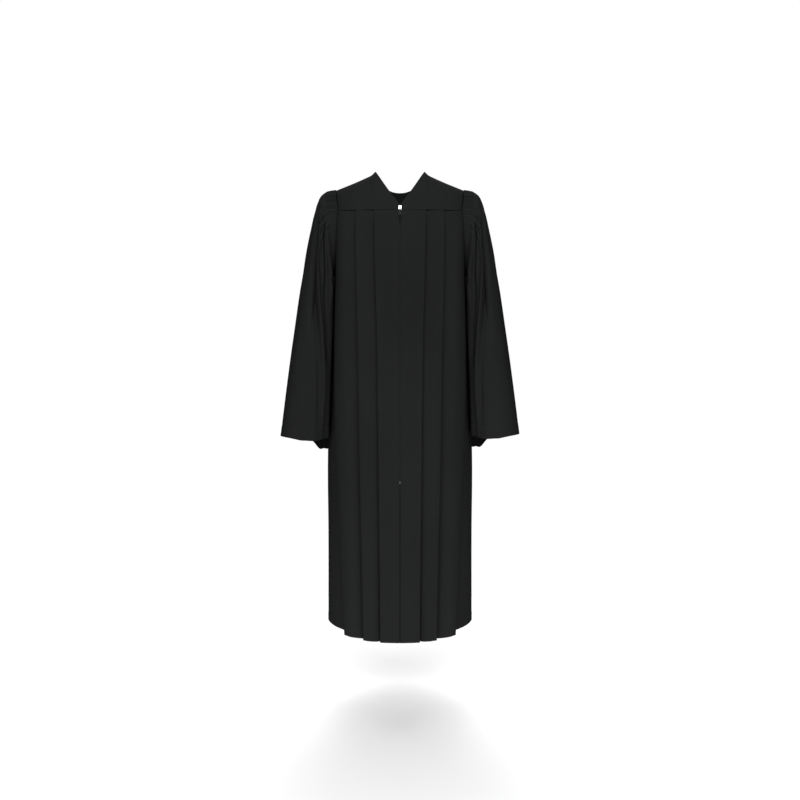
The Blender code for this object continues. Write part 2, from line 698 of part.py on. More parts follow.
def joined(name, pieces):
    """One metal object joined by Boolean unions from several overlapping solids; returns it and its pieces."""
    objects = [metal(name if k == 0 else name + "_piece", *piece) for k, piece in enumerate(pieces)]
    base = objects[0]
    for tool in objects[1:]:
        union = base.modifiers.new("join", "BOOLEAN")
        union.operation = "UNION"
        union.object = tool
        tool.hide_render = True
        tool.display_type = "WIRE"
    return objects


def build_slider():
    """The slider's front plate, the bridge that holds the pull tab, and the post between the front edges."""
    front = BRIDGE_ROOM / 2
    back = front + SLIDER_PLATE
    outline = rounded_rectangle(SLIDER_WIDTH / 2, -SLIDER_LENGTH / 2, SLIDER_LENGTH / 2, SLIDER_CORNER)
    plate = outline_solid(outline, "Y", front, back)
    crown = -front - BRIDGE_CROWN
    half, inside = BRIDGE_LENGTH / 2, BRIDGE_LENGTH / 2 - BRIDGE_LEG
    sunk = front + JOIN_DEPTH
    arch = [(sunk, -half), (crown + BRIDGE_CHAMFER, -half), (crown, -half + BRIDGE_CHAMFER),
            (crown, half - BRIDGE_CHAMFER), (crown + BRIDGE_CHAMFER, half), (sunk, half),
            (sunk, inside), (-front, inside), (-front, -inside), (sunk, -inside)]
    bridge = outline_solid(arch, "X", -BRIDGE_WIDTH / 2, BRIDGE_WIDTH / 2)
    post_front, post_back = back - JOIN_DEPTH, back + SEAM_GAP + WALL
    post = outline_solid([(post_front, -POST_LENGTH / 2), (post_front, POST_LENGTH / 2),
                          (post_back, POST_LENGTH / 2), (post_back, -POST_LENGTH / 2)],
                         "X", -POST_WIDTH / 2, POST_WIDTH / 2)
    for piece in joined("zip_slider", (plate, bridge, post)):
        piece.rotation_euler.x = -zip_tilt()
        piece.location = hinge_point()


def build_pull_tab():
    """A flat tab with an eye round the slider's bridge; its origin is on the hinge line."""
    outline = rounded_rectangle(TAB_WIDTH / 2, -TAB_LENGTH, TAB_BAR / 2, TAB_CORNER)
    window = [(TAB_EYE_HALF_WIDTH, -TAB_BAR / 2), (-TAB_EYE_HALF_WIDTH, -TAB_BAR / 2),
              (-TAB_EYE_HALF_WIDTH, -TAB_EYE_LENGTH), (TAB_EYE_HALF_WIDTH, -TAB_EYE_LENGTH)]
    plate = outline_solid(outline, "Y", -TAB_WALL / 2, TAB_WALL / 2)
    tab = metal("zip_pull_tab", *plate)
    hole = metal("zip_pull_tab_eye", *outline_solid(window, "Y", -TAB_WALL, TAB_WALL))
    cut = tab.modifiers.new("eye", "BOOLEAN")
    cut.operation = "DIFFERENCE"
    cut.object = hole
    hole.hide_render = True
    hole.display_type = "WIRE"
    for piece in (tab, hole):
        piece.rotation_euler.x = -zip_tilt()
        piece.location = hinge_point()


def build_stop():
    """The small metal stop at the zip's lower end, standing in the gap between the front edges."""
    low, high = ZIP_END_Z + STOP_RISE, ZIP_END_Z + STOP_RISE + STOP_LENGTH
    front = centre_depth(low) - HALF_WALL - STOP_PROUD
    back = front + STOP_PROUD + WALL
    metal("zip_bottom_stop", *outline_solid([(front, low), (front, high), (back, high), (back, low)],
                                            "X", -STOP_WIDTH / 2, STOP_WIDTH / 2))


for old in list(bpy.context.scene.objects):
    bpy.data.objects.remove(old, do_unlink=True)
build_front_yokes()
build_back_yoke()
build_fronts()
build_back()
build_sleeves()
build_tapes()
build_slider()
build_pull_tab()
build_stop()
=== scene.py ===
"""The judge robe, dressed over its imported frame: thin cloth with pleats, gathers, seams and
stitches, and a zip. Metres, +Z up. The robe faces -Y and the wearer's left is +X. The measures
and tables of the robe's form are those of its CAD source."""

import math

import bpy
import numpy as np
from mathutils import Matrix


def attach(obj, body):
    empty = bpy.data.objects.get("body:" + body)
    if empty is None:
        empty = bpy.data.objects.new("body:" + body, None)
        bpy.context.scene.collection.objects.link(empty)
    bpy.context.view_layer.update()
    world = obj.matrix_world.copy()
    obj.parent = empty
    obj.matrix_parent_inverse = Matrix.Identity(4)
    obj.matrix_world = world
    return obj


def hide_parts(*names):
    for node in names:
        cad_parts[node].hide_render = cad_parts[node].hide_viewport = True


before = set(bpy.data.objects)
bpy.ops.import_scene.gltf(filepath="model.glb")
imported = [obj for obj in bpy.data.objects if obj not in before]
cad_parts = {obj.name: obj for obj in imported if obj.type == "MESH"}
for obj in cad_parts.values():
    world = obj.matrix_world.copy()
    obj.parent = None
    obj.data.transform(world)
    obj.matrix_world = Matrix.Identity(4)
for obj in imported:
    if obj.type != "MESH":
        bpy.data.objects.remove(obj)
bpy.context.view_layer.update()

SEAM_GAP = 0.0003
# The cloth's thickness, single and turned in or up
CLOTH = 0.0008
HEMMED = 0.0016

# The same measures as the CAD part's
NECK_HALF = 0.0715
NECK_TIP_RISE = 0.006
NECK_TIP_WIDTH = 0.0067
V_POINT_Z = -0.098
V_NECK_BOW = 0.0018
BACK_NECK_DROP = 0.048
SHOULDER_HALF = 0.1835
SHOULDER_DROP = 0.048
SHOULDER_BOW = 0.0015
FRONT_SEAM_Z = -0.112
BACK_SEAM_Z = -0.128
HEM_Z = -1.319
HEM_SIDE_RISE = 0.0225
HEM_ROUNDNESS = 2.6
ARMHOLE_TOP_Z = -SHOULDER_DROP
UNDERARM_Z = -0.300
ARMHOLE_HALF_DEPTH = 0.062
ARMHOLE_MID_Z = (ARMHOLE_TOP_Z + UNDERARM_Z) / 2
ARMHOLE_HALF_HEIGHT = (ARMHOLE_TOP_Z - UNDERARM_Z) / 2
ARMHOLE_INSET = 0.003
INSET_FADE_HEIGHT = 0.25
INSET_FROM_SHARE = 0.8
SHOULDER_TIP_BLEND = 0.05
ZIP_HALF_GAP = 0.0010
ZIP_END_Z = -0.886
TAPE_WIDTH = 0.012
TAPE_WALL = 0.0010
SLIDER_Z = -0.107
FOLD_RADIUS = 0.0016
SUNK_UNDER_FOLD = 0.95
SUNK_AT_LAP = 0.06


def table(names, *rows):
    """Rows of numbers as dictionaries under the named columns."""
    return [dict(zip(names.split(), row)) for row in rows]


BODY = table(
    "height half_width front back square",
    (-0.000, 0.1885, 0.060, 0.050, 3.6),
    (-0.112, 0.1885, 0.091, 0.094, 3.9),
    (-0.170, 0.1885, 0.102, 0.104, 4.3),
    (-0.300, 0.1880, 0.120, 0.112, 4.0),
    (-0.400, 0.1920, 0.126, 0.115, 3.6),
    (-0.500, 0.1965, 0.131, 0.120, 3.2),
    (-0.650, 0.2035, 0.142, 0.132, 2.8),
    (-0.800, 0.2098, 0.155, 0.147, 2.5),
    (-1.050, 0.2085, 0.174, 0.168, 2.2),
    (-1.319, 0.2075, 0.192, 0.186, 2.25),
)
FRONT_PLEATS = table(
    "height edge_1 edge_2 edge_3 step_1 step_2 step_3 lap",
    (-0.112, 0.0735, 0.1275, 0.1800, 0.0044, 0.0044, 0.0044, 0.016),
    (-0.170, 0.0730, 0.1270, 0.1810, 0.0044, 0.0046, 0.0048, 0.017),
    (-0.300, 0.0700, 0.1245, 0.1835, 0.0046, 0.0052, 0.0060, 0.018),
    (-0.500, 0.0645, 0.1198, 0.1880, 0.0050, 0.0070, 0.0090, 0.020),
    (-0.800, 0.0610, 0.1145, 0.1840, 0.0060, 0.0105, 0.0150, 0.023),
    (-1.050, 0.0580, 0.1085, 0.1700, 0.0070, 0.0130, 0.0210, 0.025),
    (-1.319, 0.0550, 0.1022, 0.1560, 0.0080, 0.0150, 0.0270, 0.027),
)
BACK_PLEATS = table(
    "height edge_1 edge_2 edge_3 step_1 step_2 step_3 lap",
    (-0.128, 0.0560, 0.1080, 0.1640, 0.0044, 0.0044, 0.0044, 0.016),
    (-0.300, 0.0560, 0.1090, 0.1680, 0.0048, 0.0054, 0.0060, 0.018),
    (-0.500, 0.0540, 0.1070, 0.1690, 0.0054, 0.0074, 0.0090, 0.020),
    (-0.800, 0.0520, 0.1030, 0.1640, 0.0070, 0.0110, 0.0150, 0.023),
    (-1.050, 0.0490, 0.0970, 0.1560, 0.0085, 0.0140, 0.0200, 0.025),
    (-1.319, 0.0460, 0.0910, 0.1450, 0.0100, 0.0170, 0.0240, 0.027),
)
SIDE_PANEL = table("across sunk", (0.33, 0.70), (0.67, 0.30), (1.00, 0.00))
SLEEVE_RINGS = table(
    "outer_x outer_z inner_x inner_z front back roundness",
    (0.2070, -0.0520, 0.1893, -0.3020, 0.0700, 0.0705, 1.00),
    (0.2265, -0.0640, 0.1896, -0.3055, 0.0765, 0.0780, 1.00),
    (0.2375, -0.0800, 0.1899, -0.3095, 0.0800, 0.0825, 1.00),
    (0.2460, -0.1120, 0.1903, -0.3145, 0.0825, 0.0860, 0.95),
    (0.2565, -0.1600, 0.1908, -0.3215, 0.0850, 0.0890, 0.90),
    (0.2690, -0.2200, 0.1914, -0.3310, 0.0870, 0.0920, 0.85),
    (0.2800, -0.2840, 0.1921, -0.3430, 0.0885, 0.0945, 0.80),
    (0.2890, -0.3380, 0.1929, -0.3600, 0.0900, 0.0965, 0.75),
    (0.2985, -0.4050, 0.1941, -0.3930, 0.0920, 0.0990, 0.70),
    (0.3095, -0.4860, 0.1970, -0.4560, 0.0948, 0.1018, 0.60),
    (0.3225, -0.5800, 0.2021, -0.5600, 0.0980, 0.1050, 0.50),
    (0.3350, -0.6750, 0.2067, -0.6650, 0.1010, 0.1090, 0.50),
    (0.3458, -0.7600, 0.2108, -0.7600, 0.1040, 0.1130, 0.50),
)
CUFF_DROPS = table("angle drop spread", (-105, 0.0095, 35), (105, 0.0360, 18), (139, 0.0470, 29))
GATHER_FADE = 0.25
GATHERS = table(
    "turn_top turn_end height width starts ends",
    (10, -85, 0.0025, 10, 0.10, 0.50),
    (18, -145, -0.0040, 13, 0.10, 0.65),
    (-31, -150, 0.0055, 11, 0.08, 0.95),
    (-50, -175, -0.0045, 9, 0.08, 0.85),
    (-64, -230, 0.0050, 10, 0.08, 0.60),
    (2, 40, 0.0030, 10, 0.10, 0.45),
    (16, 105, -0.0040, 12, 0.10, 0.60),
    (34, 146, 0.0055, 11, 0.08, 0.90),
    (54, 172, -0.0045, 9, 0.08, 0.80),
    (70, 222, 0.0045, 10, 0.08, 0.60),
)

# The cloth's own folds, beyond the forms of the CAD part. On a sleeve, each is its height, how
# wide it is towards the front and towards the back in degrees, and the places it passes: degrees
# round from the outermost line, below 0 at the front, and the share of the way down.
SLEEVE_FOLDS = (
    (0.0094, 6, 4.5, ((-44, 0.045), (-62, 0.085), (-83, 0.250), (-100, 0.480), (-112, 0.670),
        (-127, 0.860), (-134, 1.12))),
    (-0.0140, 4, 4, ((-64, 0.040), (-80, 0.075), (-107, 0.200), (-122, 0.480), (-137, 0.670),
        (-148, 0.80))),
    (0.0080, 6, 6, ((-68, 0.030), (-86, 0.045), (-120, 0.110), (-133, 0.250), (-140, 0.470),
        (-144, 0.62))),
    (-0.0056, 4, 5, ((-74, 0.030), (-94, 0.050), (-134, 0.115), (-150, 0.25))),
    (0.0030, 4, 4, ((-84, 0.026), (-104, 0.046), (-142, 0.105), (-158, 0.20))),
    (-0.0130, 18, 8, ((-14, 0.060), (-28, 0.110), (-46, 0.160), (-63, 0.290), (-87, 0.480),
        (-97, 0.64))),
    (-0.0085, 4.5, 3.2, ((-20, 0.050), (-34, 0.110), (-48, 0.160), (-66, 0.290), (-89, 0.480),
        (-101, 0.72))),
    (-0.0040, 8, 6, ((-88, 0.480), (-101, 0.670), (-112, 0.860), (-116, 1.05))),
    (0.0042, 24, 22, ((-42, 0.550), (-44, 0.800), (-46, 0.99))),
    (0.0016, 9, 11, ((8, 0.060), (-8, 0.230), (-40, 0.480), (-62, 0.80))),
    (0.0012, 10, 14, ((24, 0.070), (12, 0.300), (-12, 0.620), (-26, 0.97))),
    (0.0048, 7, 5, ((28, 0.045), (50, 0.100), (78, 0.270), (104, 0.52), (124, 0.72), (138, 0.93))),
    (-0.0062, 6, 7, ((44, 0.040), (66, 0.070), (100, 0.260), (128, 0.560), (150, 0.74))),
    (0.0048, 6, 6, ((54, 0.030), (68, 0.040), (108, 0.120), (150, 0.46))),
    (-0.0040, 4, 5, ((64, 0.030), (84, 0.055), (122, 0.130), (150, 0.30))),
    (-0.0058, 12, 13, ((4, 0.060), (14, 0.140), (38, 0.260), (70, 0.470), (90, 0.74))),
    (0.0014, 12, 10, ((40, 0.420), (58, 0.640), (70, 0.95))),
    (0.0016, 10, 12, ((150, 0.500), (160, 0.700), (166, 0.98))),
    (-0.0014, 12, 10, ((-166, 0.450), (-170, 0.700), (-172, 0.96))),
)

# Soft waves down a panel: how far out it lies at the yoke seam and at the hem, its height and
# half width, and where it starts and ends
FRONT_WAVES = (
    (0.036, 0.026, 0.0014, 0.013, -0.16, -0.82),
    (0.058, 0.046, -0.0012, 0.010, -0.30, -1.28),
    (0.020, 0.012, -0.0009, 0.011, -0.55, -1.31),
    (0.092, 0.074, -0.0014, 0.010, -0.13, -0.70),
    (0.112, 0.090, 0.0013, 0.011, -0.36, -1.26),
    (0.148, 0.118, -0.0022, 0.013, -0.16, -0.95),
    (0.168, 0.138, 0.0018, 0.012, -0.42, -1.31),
    (0.185, 0.182, -0.0020, 0.012, -0.62, -1.31),
    (0.195, 0.200, 0.0022, 0.010, -0.80, -1.31),
)
BACK_WAVES = (
    (0.024, 0.016, 0.0018, 0.014, -0.18, -0.90),
    (0.004, 0.000, -0.0014, 0.013, -0.45, -1.31),
    (0.080, 0.066, -0.0018, 0.011, -0.16, -0.80),
    (0.094, 0.078, 0.0014, 0.010, -0.50, -1.30),
    (0.134, 0.106, -0.0024, 0.014, -0.18, -1.00),
    (0.152, 0.126, 0.0018, 0.011, -0.45, -1.31),
    (0.178, 0.170, -0.0020, 0.013, -0.55, -1.31),
    (0.192, 0.196, 0.0022, 0.010, -0.75, -1.31),
)


def clamped(share):
    return np.clip(share, 0.0, 1.0)


def eased(share):
    """From 0 to 1 with a soft start and end."""
    share = clamped(share)
    return share * share * (3 - 2 * share)


def between(start, end, share):
    return start + (end - start) * share


def rising(value, start, over):
    """From 0 to 1 over a stretch that starts here and is this long."""
    return eased((value - start) / over)


def ridge(away, height, half_width):
    """How high a soft ridge stands at this distance from its middle."""
    return height * np.exp(-(away / half_width) ** 2)


def uneven_wave(place, turns, wander, wander_turns):
    """A ripple between -1 and 1 whose waves are all unlike."""
    return np.sin(place * turns + wander * np.sin(place * wander_turns))


def smooth_through(stations, values, places):
    """Smooth curves through the values at their stations, read off at the given places."""
    stations, values, places = (np.asarray(item, dtype=float)
                                for item in (stations, values, places))
    across = (-1,) + (1,) * (values.ndim - 1)
    slope = np.diff(values, axis=0) / np.diff(stations).reshape(across)
    bend = np.concatenate([slope[:1], (slope[:-1] + slope[1:]) / 2, slope[-1:]])
    places = np.clip(np.atleast_1d(places), stations[0], stations[-1])
    k = np.clip(np.searchsorted(stations, places) - 1, 0, len(stations) - 2)
    span = (stations[k + 1] - stations[k]).reshape(across)
    t = (places - stations[k]).reshape(across) / span
    return (values[k] * (1 + 2 * t) * (1 - t) ** 2 + values[k + 1] * t * t * (3 - 2 * t)
            + span * (bend[k] * t * (1 - t) ** 2 - bend[k + 1] * t * t * (1 - t)))


def at_height(rows, name, height):
    """The named column at one height or more, on a smooth curve through the table's rows."""
    heights, column = zip(*((-row["height"], row[name]) for row in rows))
    return smooth_through(heights, column, -np.ravel(height)).reshape(np.shape(height))[()]


class Outline:
    """A quarter of the body's outline from above, from its centre line at -Y out to the side."""

    SAMPLES = 400
    STEP = 0.002

    def __init__(self, height, depth_name):
        half_width, depth, square = (at_height(BODY, name, height)
                                     for name in ("half_width", depth_name, "square"))
        turn = np.linspace(0, math.pi / 2, self.SAMPLES)
        sine, cosine = np.sin(turn), np.cos(turn)
        reach = ((sine / half_width) ** square + (cosine / depth) ** square) ** (-1 / square)
        self.x, self.y = reach * sine, -reach * cosine
        steps = np.hypot(np.diff(self.x), np.diff(self.y))
        self.run = np.concatenate([[0], np.cumsum(steps)])

    def run_at_x(self, x):
        return float(np.interp(x, self.x, self.run))

    def run_at_y(self, y):
        return float(np.interp(y, self.y, self.run))

    def at(self, run):
        return np.array([np.interp(run, self.run, self.x), np.interp(run, self.run, self.y)])

    def point(self, run, lift):
        """The points this far along the outline, lifted outwards from it, as x and y."""
        x, y = self.at(run)
        before = np.maximum(run - self.STEP, 0)
        across, along = self.at(np.minimum(run + self.STEP, self.run[-1])) - self.at(before)
        size = np.hypot(across, along)
        return x + lift * along / size, y - lift * across / size


def armhole_depth(height):
    level = min(1.0, abs(height - ARMHOLE_MID_Z) / ARMHOLE_HALF_HEIGHT)
    return ARMHOLE_HALF_DEPTH * math.sqrt(1 - level * level)


def side_run(outline, height):
    """Where the panel ends along its outline: on the armhole, or lower down at the side seam."""
    if height <= UNDERARM_Z:
        return outline.run[-1]
    return outline.run_at_y(-max(armhole_depth(height), SEAM_GAP))


def side_lift(height):
    return -ARMHOLE_INSET * (1 - clamped((UNDERARM_Z - height) / INSET_FADE_HEIGHT))


# How finely each stretch of a pleated section is drawn
PLEAT_SAMPLES = (4, 5, 7, 4, 4, 4, 4, 3, 2, 3, 3, 2, 3)
SIDE_SAMPLES = (8, 8, 8)
# A panel curves down deeper beside the fold that it comes from than the CAD part's facets do
PANEL_CURVE = table("across sunk deeper", (0.15, 0.76, 0.84), (0.42, 0.42, 0.42))
DEEPER = 0.0042
DEEPER_BY_STEP = 0.62
# How far a folded edge rolls up, and what share of it the middle of the lap does
EDGE_ROLL = 0.0009
ROLL_MIDWAY = 0.2
FREE_BELOW_SEAM = 0.07


def spline(control, samples):
    """A smooth curve along the control points, with this many samples on each stretch."""
    control = np.asarray(control)
    control = np.vstack([2 * control[0] - control[1], control, 2 * control[-1] - control[-2]])
    curve = []
    for k, count in enumerate(samples):
        t = np.arange(count)[:, None] / count
        a, b, c, d = control[k:k + 4]
        curve.append(((1 - t) ** 3 * a + (3 * t ** 3 - 6 * t ** 2 + 4) * b
                      + (-3 * t ** 3 + 3 * t ** 2 + 3 * t + 1) * c + t ** 3 * d) / 6)
    return np.vstack(curve + [control[-2:-1]])


def pleated_line(outline, height, pleats, start, top):
    """The section of a pleated half panel as its way along the outline and its rise from it."""
    lap = at_height(pleats, "lap", height)
    line = [(start, 0.0)]
    came_from, step_before, deeper = start, 0.0, 0.0
    free = float(eased((top - height) / FREE_BELOW_SEAM))
    roll = EDGE_ROLL * free
    for number in ("1", "2", "3"):
        edge = outline.run_at_x(at_height(pleats, "edge_" + number, height))
        step = at_height(pleats, "step_" + number, height)
        fold = min(step / 4, FOLD_RADIUS)
        flat = edge - lap
        midway = edge - lap / 2
        line += [(came_from + place["across"] * (flat - came_from),
                  -place["sunk"] * step_before - place["deeper"] * deeper)
                 for place in PANEL_CURVE]
        line += [(flat, -SUNK_AT_LAP * step_before), (midway, ROLL_MIDWAY * roll),
                 (edge - fold, roll), (edge, roll - fold), (edge - fold, -2 * fold),
                 (midway, -step / 2), (flat + fold, 2 * fold - step), (flat, fold - step),
                 (flat + fold, -step), (midway, -step)]
        came_from, step_before = edge, step
        deeper = free * (DEEPER + DEEPER_BY_STEP * step)
        line.append((edge, -SUNK_UNDER_FOLD * step - deeper))
    end, lift = side_run(outline, height), side_lift(height)
    for place in SIDE_PANEL:
        rise = -place["sunk"] * SUNK_UNDER_FOLD * step_before + (1 - place["sunk"]) * lift
        rise -= deeper * (1 - place["across"]) ** 2
        line.append((came_from + place["across"] * (end - came_from), rise))
    return spline(line, PLEAT_SAMPLES * 3 + SIDE_SAMPLES)


def hem_rise(x, height, top):
    """How much higher than the centre the cloth hangs towards the side, all of it at the hem."""
    down = (top - height) / (top - HEM_Z)
    return HEM_SIDE_RISE * (np.abs(x) / BODY[-1]["half_width"]) ** HEM_ROUNDNESS * down ** 4


# ---- Materials ----

class Wire:
    """A shader socket that takes part in ordinary arithmetic."""

    def __init__(self, finish, socket):
        self.finish, self.socket = finish, socket

    def worked(self, operation, *values):
        return self.finish.node("ShaderNodeMath", dict(enumerate(values)), operation=operation)

    def __add__(self, other):
        return self.worked("ADD", self, other)

    def __sub__(self, other):
        return self.worked("SUBTRACT", self, other)

    def __mul__(self, other):
        return self.worked("MULTIPLY", self, other)

    def __rsub__(self, other):
        return self.worked("SUBTRACT", other, self)

    __radd__, __rmul__ = __add__, __mul__

    def sine(self):
        return self.worked("SINE", self)


class Finish:
    """A material of the robe's, or the studio's world, made node by node."""

    def __init__(self, name, world=None):
        self.owner = world or bpy.data.materials.new(name)
        self.owner.use_nodes = True
        self.tree = self.owner.node_tree
        self.tree.nodes.clear()

    def node(self, kind, inputs=(), out=0, **settings):
        """Makes a node with its sockets' values or links, and returns one output or a list."""
        made = self.tree.nodes.new(kind)
        for name, value in settings.items():
            setattr(made, name, value)
        for name, value in dict(inputs).items():
            if isinstance(value, Wire):
                self.tree.links.new(value.socket, made.inputs[name])
            else:
                made.inputs[name].default_value = value
        if isinstance(out, tuple):
            return [Wire(self, made.outputs[k]) for k in out]
        return Wire(self, made.outputs[out]) if len(made.outputs) else made

    def surface(self, shader):
        self.node("ShaderNodeOutputMaterial", {"Surface": shader})
        return self.owner

    def noise(self, scale, detail=2.0, source="Object", stretch=(1, 1, 1)):
        place = self.node("ShaderNodeTexCoord", out=source)
        place = self.node("ShaderNodeMapping", {"Vector": place, "Scale": stretch})
        return self.node("ShaderNodeTexNoise", {"Vector": place, "Scale": scale, "Detail": detail})

    def mixed(self, share, first, second):
        return self.node("ShaderNodeMix", {0: share, 6: first, 7: second}, out=2, data_type="RGBA")

    def first_two(self, source):
        """The first two coordinates of a source, such as along and down the cloth."""
        place = self.node("ShaderNodeTexCoord", out=source)
        return self.node("ShaderNodeSeparateXYZ", {0: place}, out=(0, 1))


def grey(value, tint=0.0):
    return (value * (1 - tint), value, value * (1 + tint), 1.0)


def woven(name, dark, light, yarn, relief, roughness, gloss):
    """Plain-woven cloth with crossed yarns and slubs. The UV map runs in metres, along the weft
    and down the warp."""
    finish = Finish(name)
    along, down = finish.first_two("UV")
    turns = 2 * math.pi / yarn
    weave = (along * turns).sine() * (down * turns).sine()
    slub = finish.noise(900.0, 2.0, "UV", (1.0, 0.12, 1.0))
    crumple = finish.noise(26.0, 3.0, "Object", (1.0, 1.0, 0.35))
    height = weave * relief + slub * (relief * 1.2) + crumple * (relief * 6.0)
    normal = finish.node("ShaderNodeBump", {"Strength": 0.7, "Distance": 1.0, "Height": height})
    cloudy = finish.noise(5.0, 3.0, "Object", (1.0, 1.0, 0.5))
    worn = cloudy * 0.75 + slub * 0.25 + weave * 0.06
    shine = roughness - 0.07 + cloudy * 0.10 + slub * 0.04
    return finish.surface(finish.node("ShaderNodeBsdfPrincipled", {
        "Base Color": finish.mixed(worn, dark, light), "Roughness": shine, "Normal": normal,
        "Specular IOR Level": gloss}))


def plated(name, dull, bright):
    """Plated metal with a fine grain and dulled patches."""
    finish = Finish(name)
    grain = finish.noise(2600.0, 2.0, "Object", (1.0, 1.0, 0.2))
    patches = finish.noise(420.0, 2.0)
    normal = finish.node("ShaderNodeBump", {
        "Strength": 0.35, "Distance": 0.00008, "Height": grain})
    return finish.surface(finish.node("ShaderNodeBsdfPrincipled", {
        "Base Color": finish.mixed(patches, grey(dull, 0.01), grey(bright, 0.02)),
        "Roughness": 0.18 + patches * 0.16, "Metallic": 1.0, "Normal": normal}))


def pale_floor(name):
    finish = Finish(name)
    cloudy = finish.noise(1.3, 3.0)
    return finish.surface(finish.node("ShaderNodeBsdfPrincipled", {
        "Base Color": finish.mixed(cloudy, grey(0.88), grey(0.92)),
        "Roughness": 0.85 + cloudy * 0.1, "Specular IOR Level": 0.1}))


robe_cloth = woven("black_robe_cloth", grey(0.0098, 0.02), grey(0.0172, 0.03),
                   yarn=0.00055, relief=0.000022, roughness=0.66, gloss=0.001)
sewing_thread = woven("black_sewing_thread", grey(0.008), grey(0.015),
                      yarn=0.00030, relief=0.00002, roughness=0.50, gloss=0.01)
zip_tape = woven("black_zip_tape", grey(0.006), grey(0.010),
                 yarn=0.00080, relief=0.00004, roughness=0.72, gloss=0.001)
zip_metal = plated("plated_zip_metal", 0.62, 0.80)
# The pull tab takes the slider's plated metal painted nearly black: painted shade for the shade the
# tab hangs in below the slider
shaded_tab_finish = plated("shade_painted_tab_plating", 0.003, 0.009)


# ---- Cloth pieces ----

def grid_normals(grid, closed):
    """Unit normals of a grid of points, and whether they were turned over to face outwards."""
    along = np.roll(grid, -1, 1) - np.roll(grid, 1, 1) if closed else np.gradient(grid, axis=1)
    normal = np.cross(np.gradient(grid, axis=0), along)
    normal /= np.linalg.norm(normal, axis=2, keepdims=True) + 1e-15
    middle = grid.mean(axis=1, keepdims=True) if closed else grid * (0, 0, 1)
    turned = float((normal * (grid - middle)).sum()) < 0
    return (-normal if turned else normal), turned


def make_piece(name, points, faces, material, uvs=None, crisp=50):
    """A mesh of the robe. Edges that turn by more than crisp degrees stay sharp."""
    mesh = bpy.data.meshes.new(name)
    mesh.from_pydata(np.asarray(points, dtype=float).tolist(), [], [tuple(f) for f in faces])
    if uvs is not None:
        uvs = np.asarray(uvs, dtype=np.float32).ravel()
        mesh.uv_layers.new(name="cloth").data.foreach_set("uv", uvs)
    mesh.shade_smooth()
    mesh.set_sharp_from_angle(angle=math.radians(crisp))
    mesh.materials.append(material)
    piece = bpy.data.objects.new(name, mesh)
    bpy.context.scene.collection.objects.link(piece)
    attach(piece, "robe")
    return piece


def cloth_shell(name, grid, thickness, material, closed=False):
    """A closed shell of cloth round a grid of points, with one thickness or one for each row or
    point."""
    rows, columns = grid.shape[:2]
    normals, turned = grid_normals(grid, closed)
    half = np.broadcast_to(np.asarray(thickness, dtype=float) / 2, (rows, columns))[..., None]
    points = np.concatenate([(grid + normals * half).reshape(-1, 3),
                             (grid - normals * half).reshape(-1, 3)])
    wrapped = np.concatenate([grid, grid[:, :1]], axis=1) if closed else grid
    across = np.linalg.norm(np.diff(wrapped, axis=1), axis=2)
    down = np.linalg.norm(np.diff(wrapped, axis=0), axis=2)
    u = np.concatenate([np.zeros((rows, 1)), np.cumsum(across, axis=1)], axis=1)
    v = np.concatenate([np.zeros((1, wrapped.shape[1])), np.cumsum(down, axis=0)])
    uv = np.stack([u, v], axis=-1)

    def corners(r, c):
        return r * columns + c % columns, uv[r, c]

    r, c = np.meshgrid(np.arange(rows - 1), np.arange(wrapped.shape[1] - 1), indexing="ij")
    places, maps = zip(*(corners(*at) for at in ((r, c), (r + 1, c), (r + 1, c + 1), (r, c + 1))))
    outside = np.stack(places, -1).reshape(-1, 4)
    outside_uv = np.stack(maps, -2).reshape(-1, 4, 2)
    count = rows * columns
    faces, maps = [outside, outside[:, ::-1] + count], [outside_uv, outside_uv[:, ::-1]]
    r, c = np.arange(rows - 1), np.arange(wrapped.shape[1] - 1)
    first, last_row, last_column = 0 * c, 0 * c + rows - 1, 0 * r + columns - 1
    rims = [((first, c + 1), (first, c)), ((last_row, c), (last_row, c + 1))]
    if not closed:
        rims += [((r, 0 * r), (r + 1, 0 * r)), ((r + 1, last_column), (r, last_column))]
    for start, end in rims:
        (p, p_uv), (q, q_uv) = corners(*start), corners(*end)
        faces.append(np.stack([q, p, p + count, q + count], -1))
        maps.append(np.stack([q_uv, p_uv, p_uv, q_uv], -2))
    faces, maps = np.concatenate(faces), np.concatenate(maps)
    if turned:
        faces, maps = faces[:, ::-1], maps[:, ::-1]
    return make_piece(name, points, faces.tolist(), material, maps, crisp=60)


# A stitch's section, and the places along it with their share of its thickness
STITCH_RING = ((1, 0), (0, 0.7), (-1, 0), (0, -0.42))
STITCH_STATIONS = ((-0.5, 0.0), (-0.34, 0.9), (0.0, 1.0), (0.34, 0.9), (0.5, 0.0))
STITCH_CLEARANCE = 0.00006


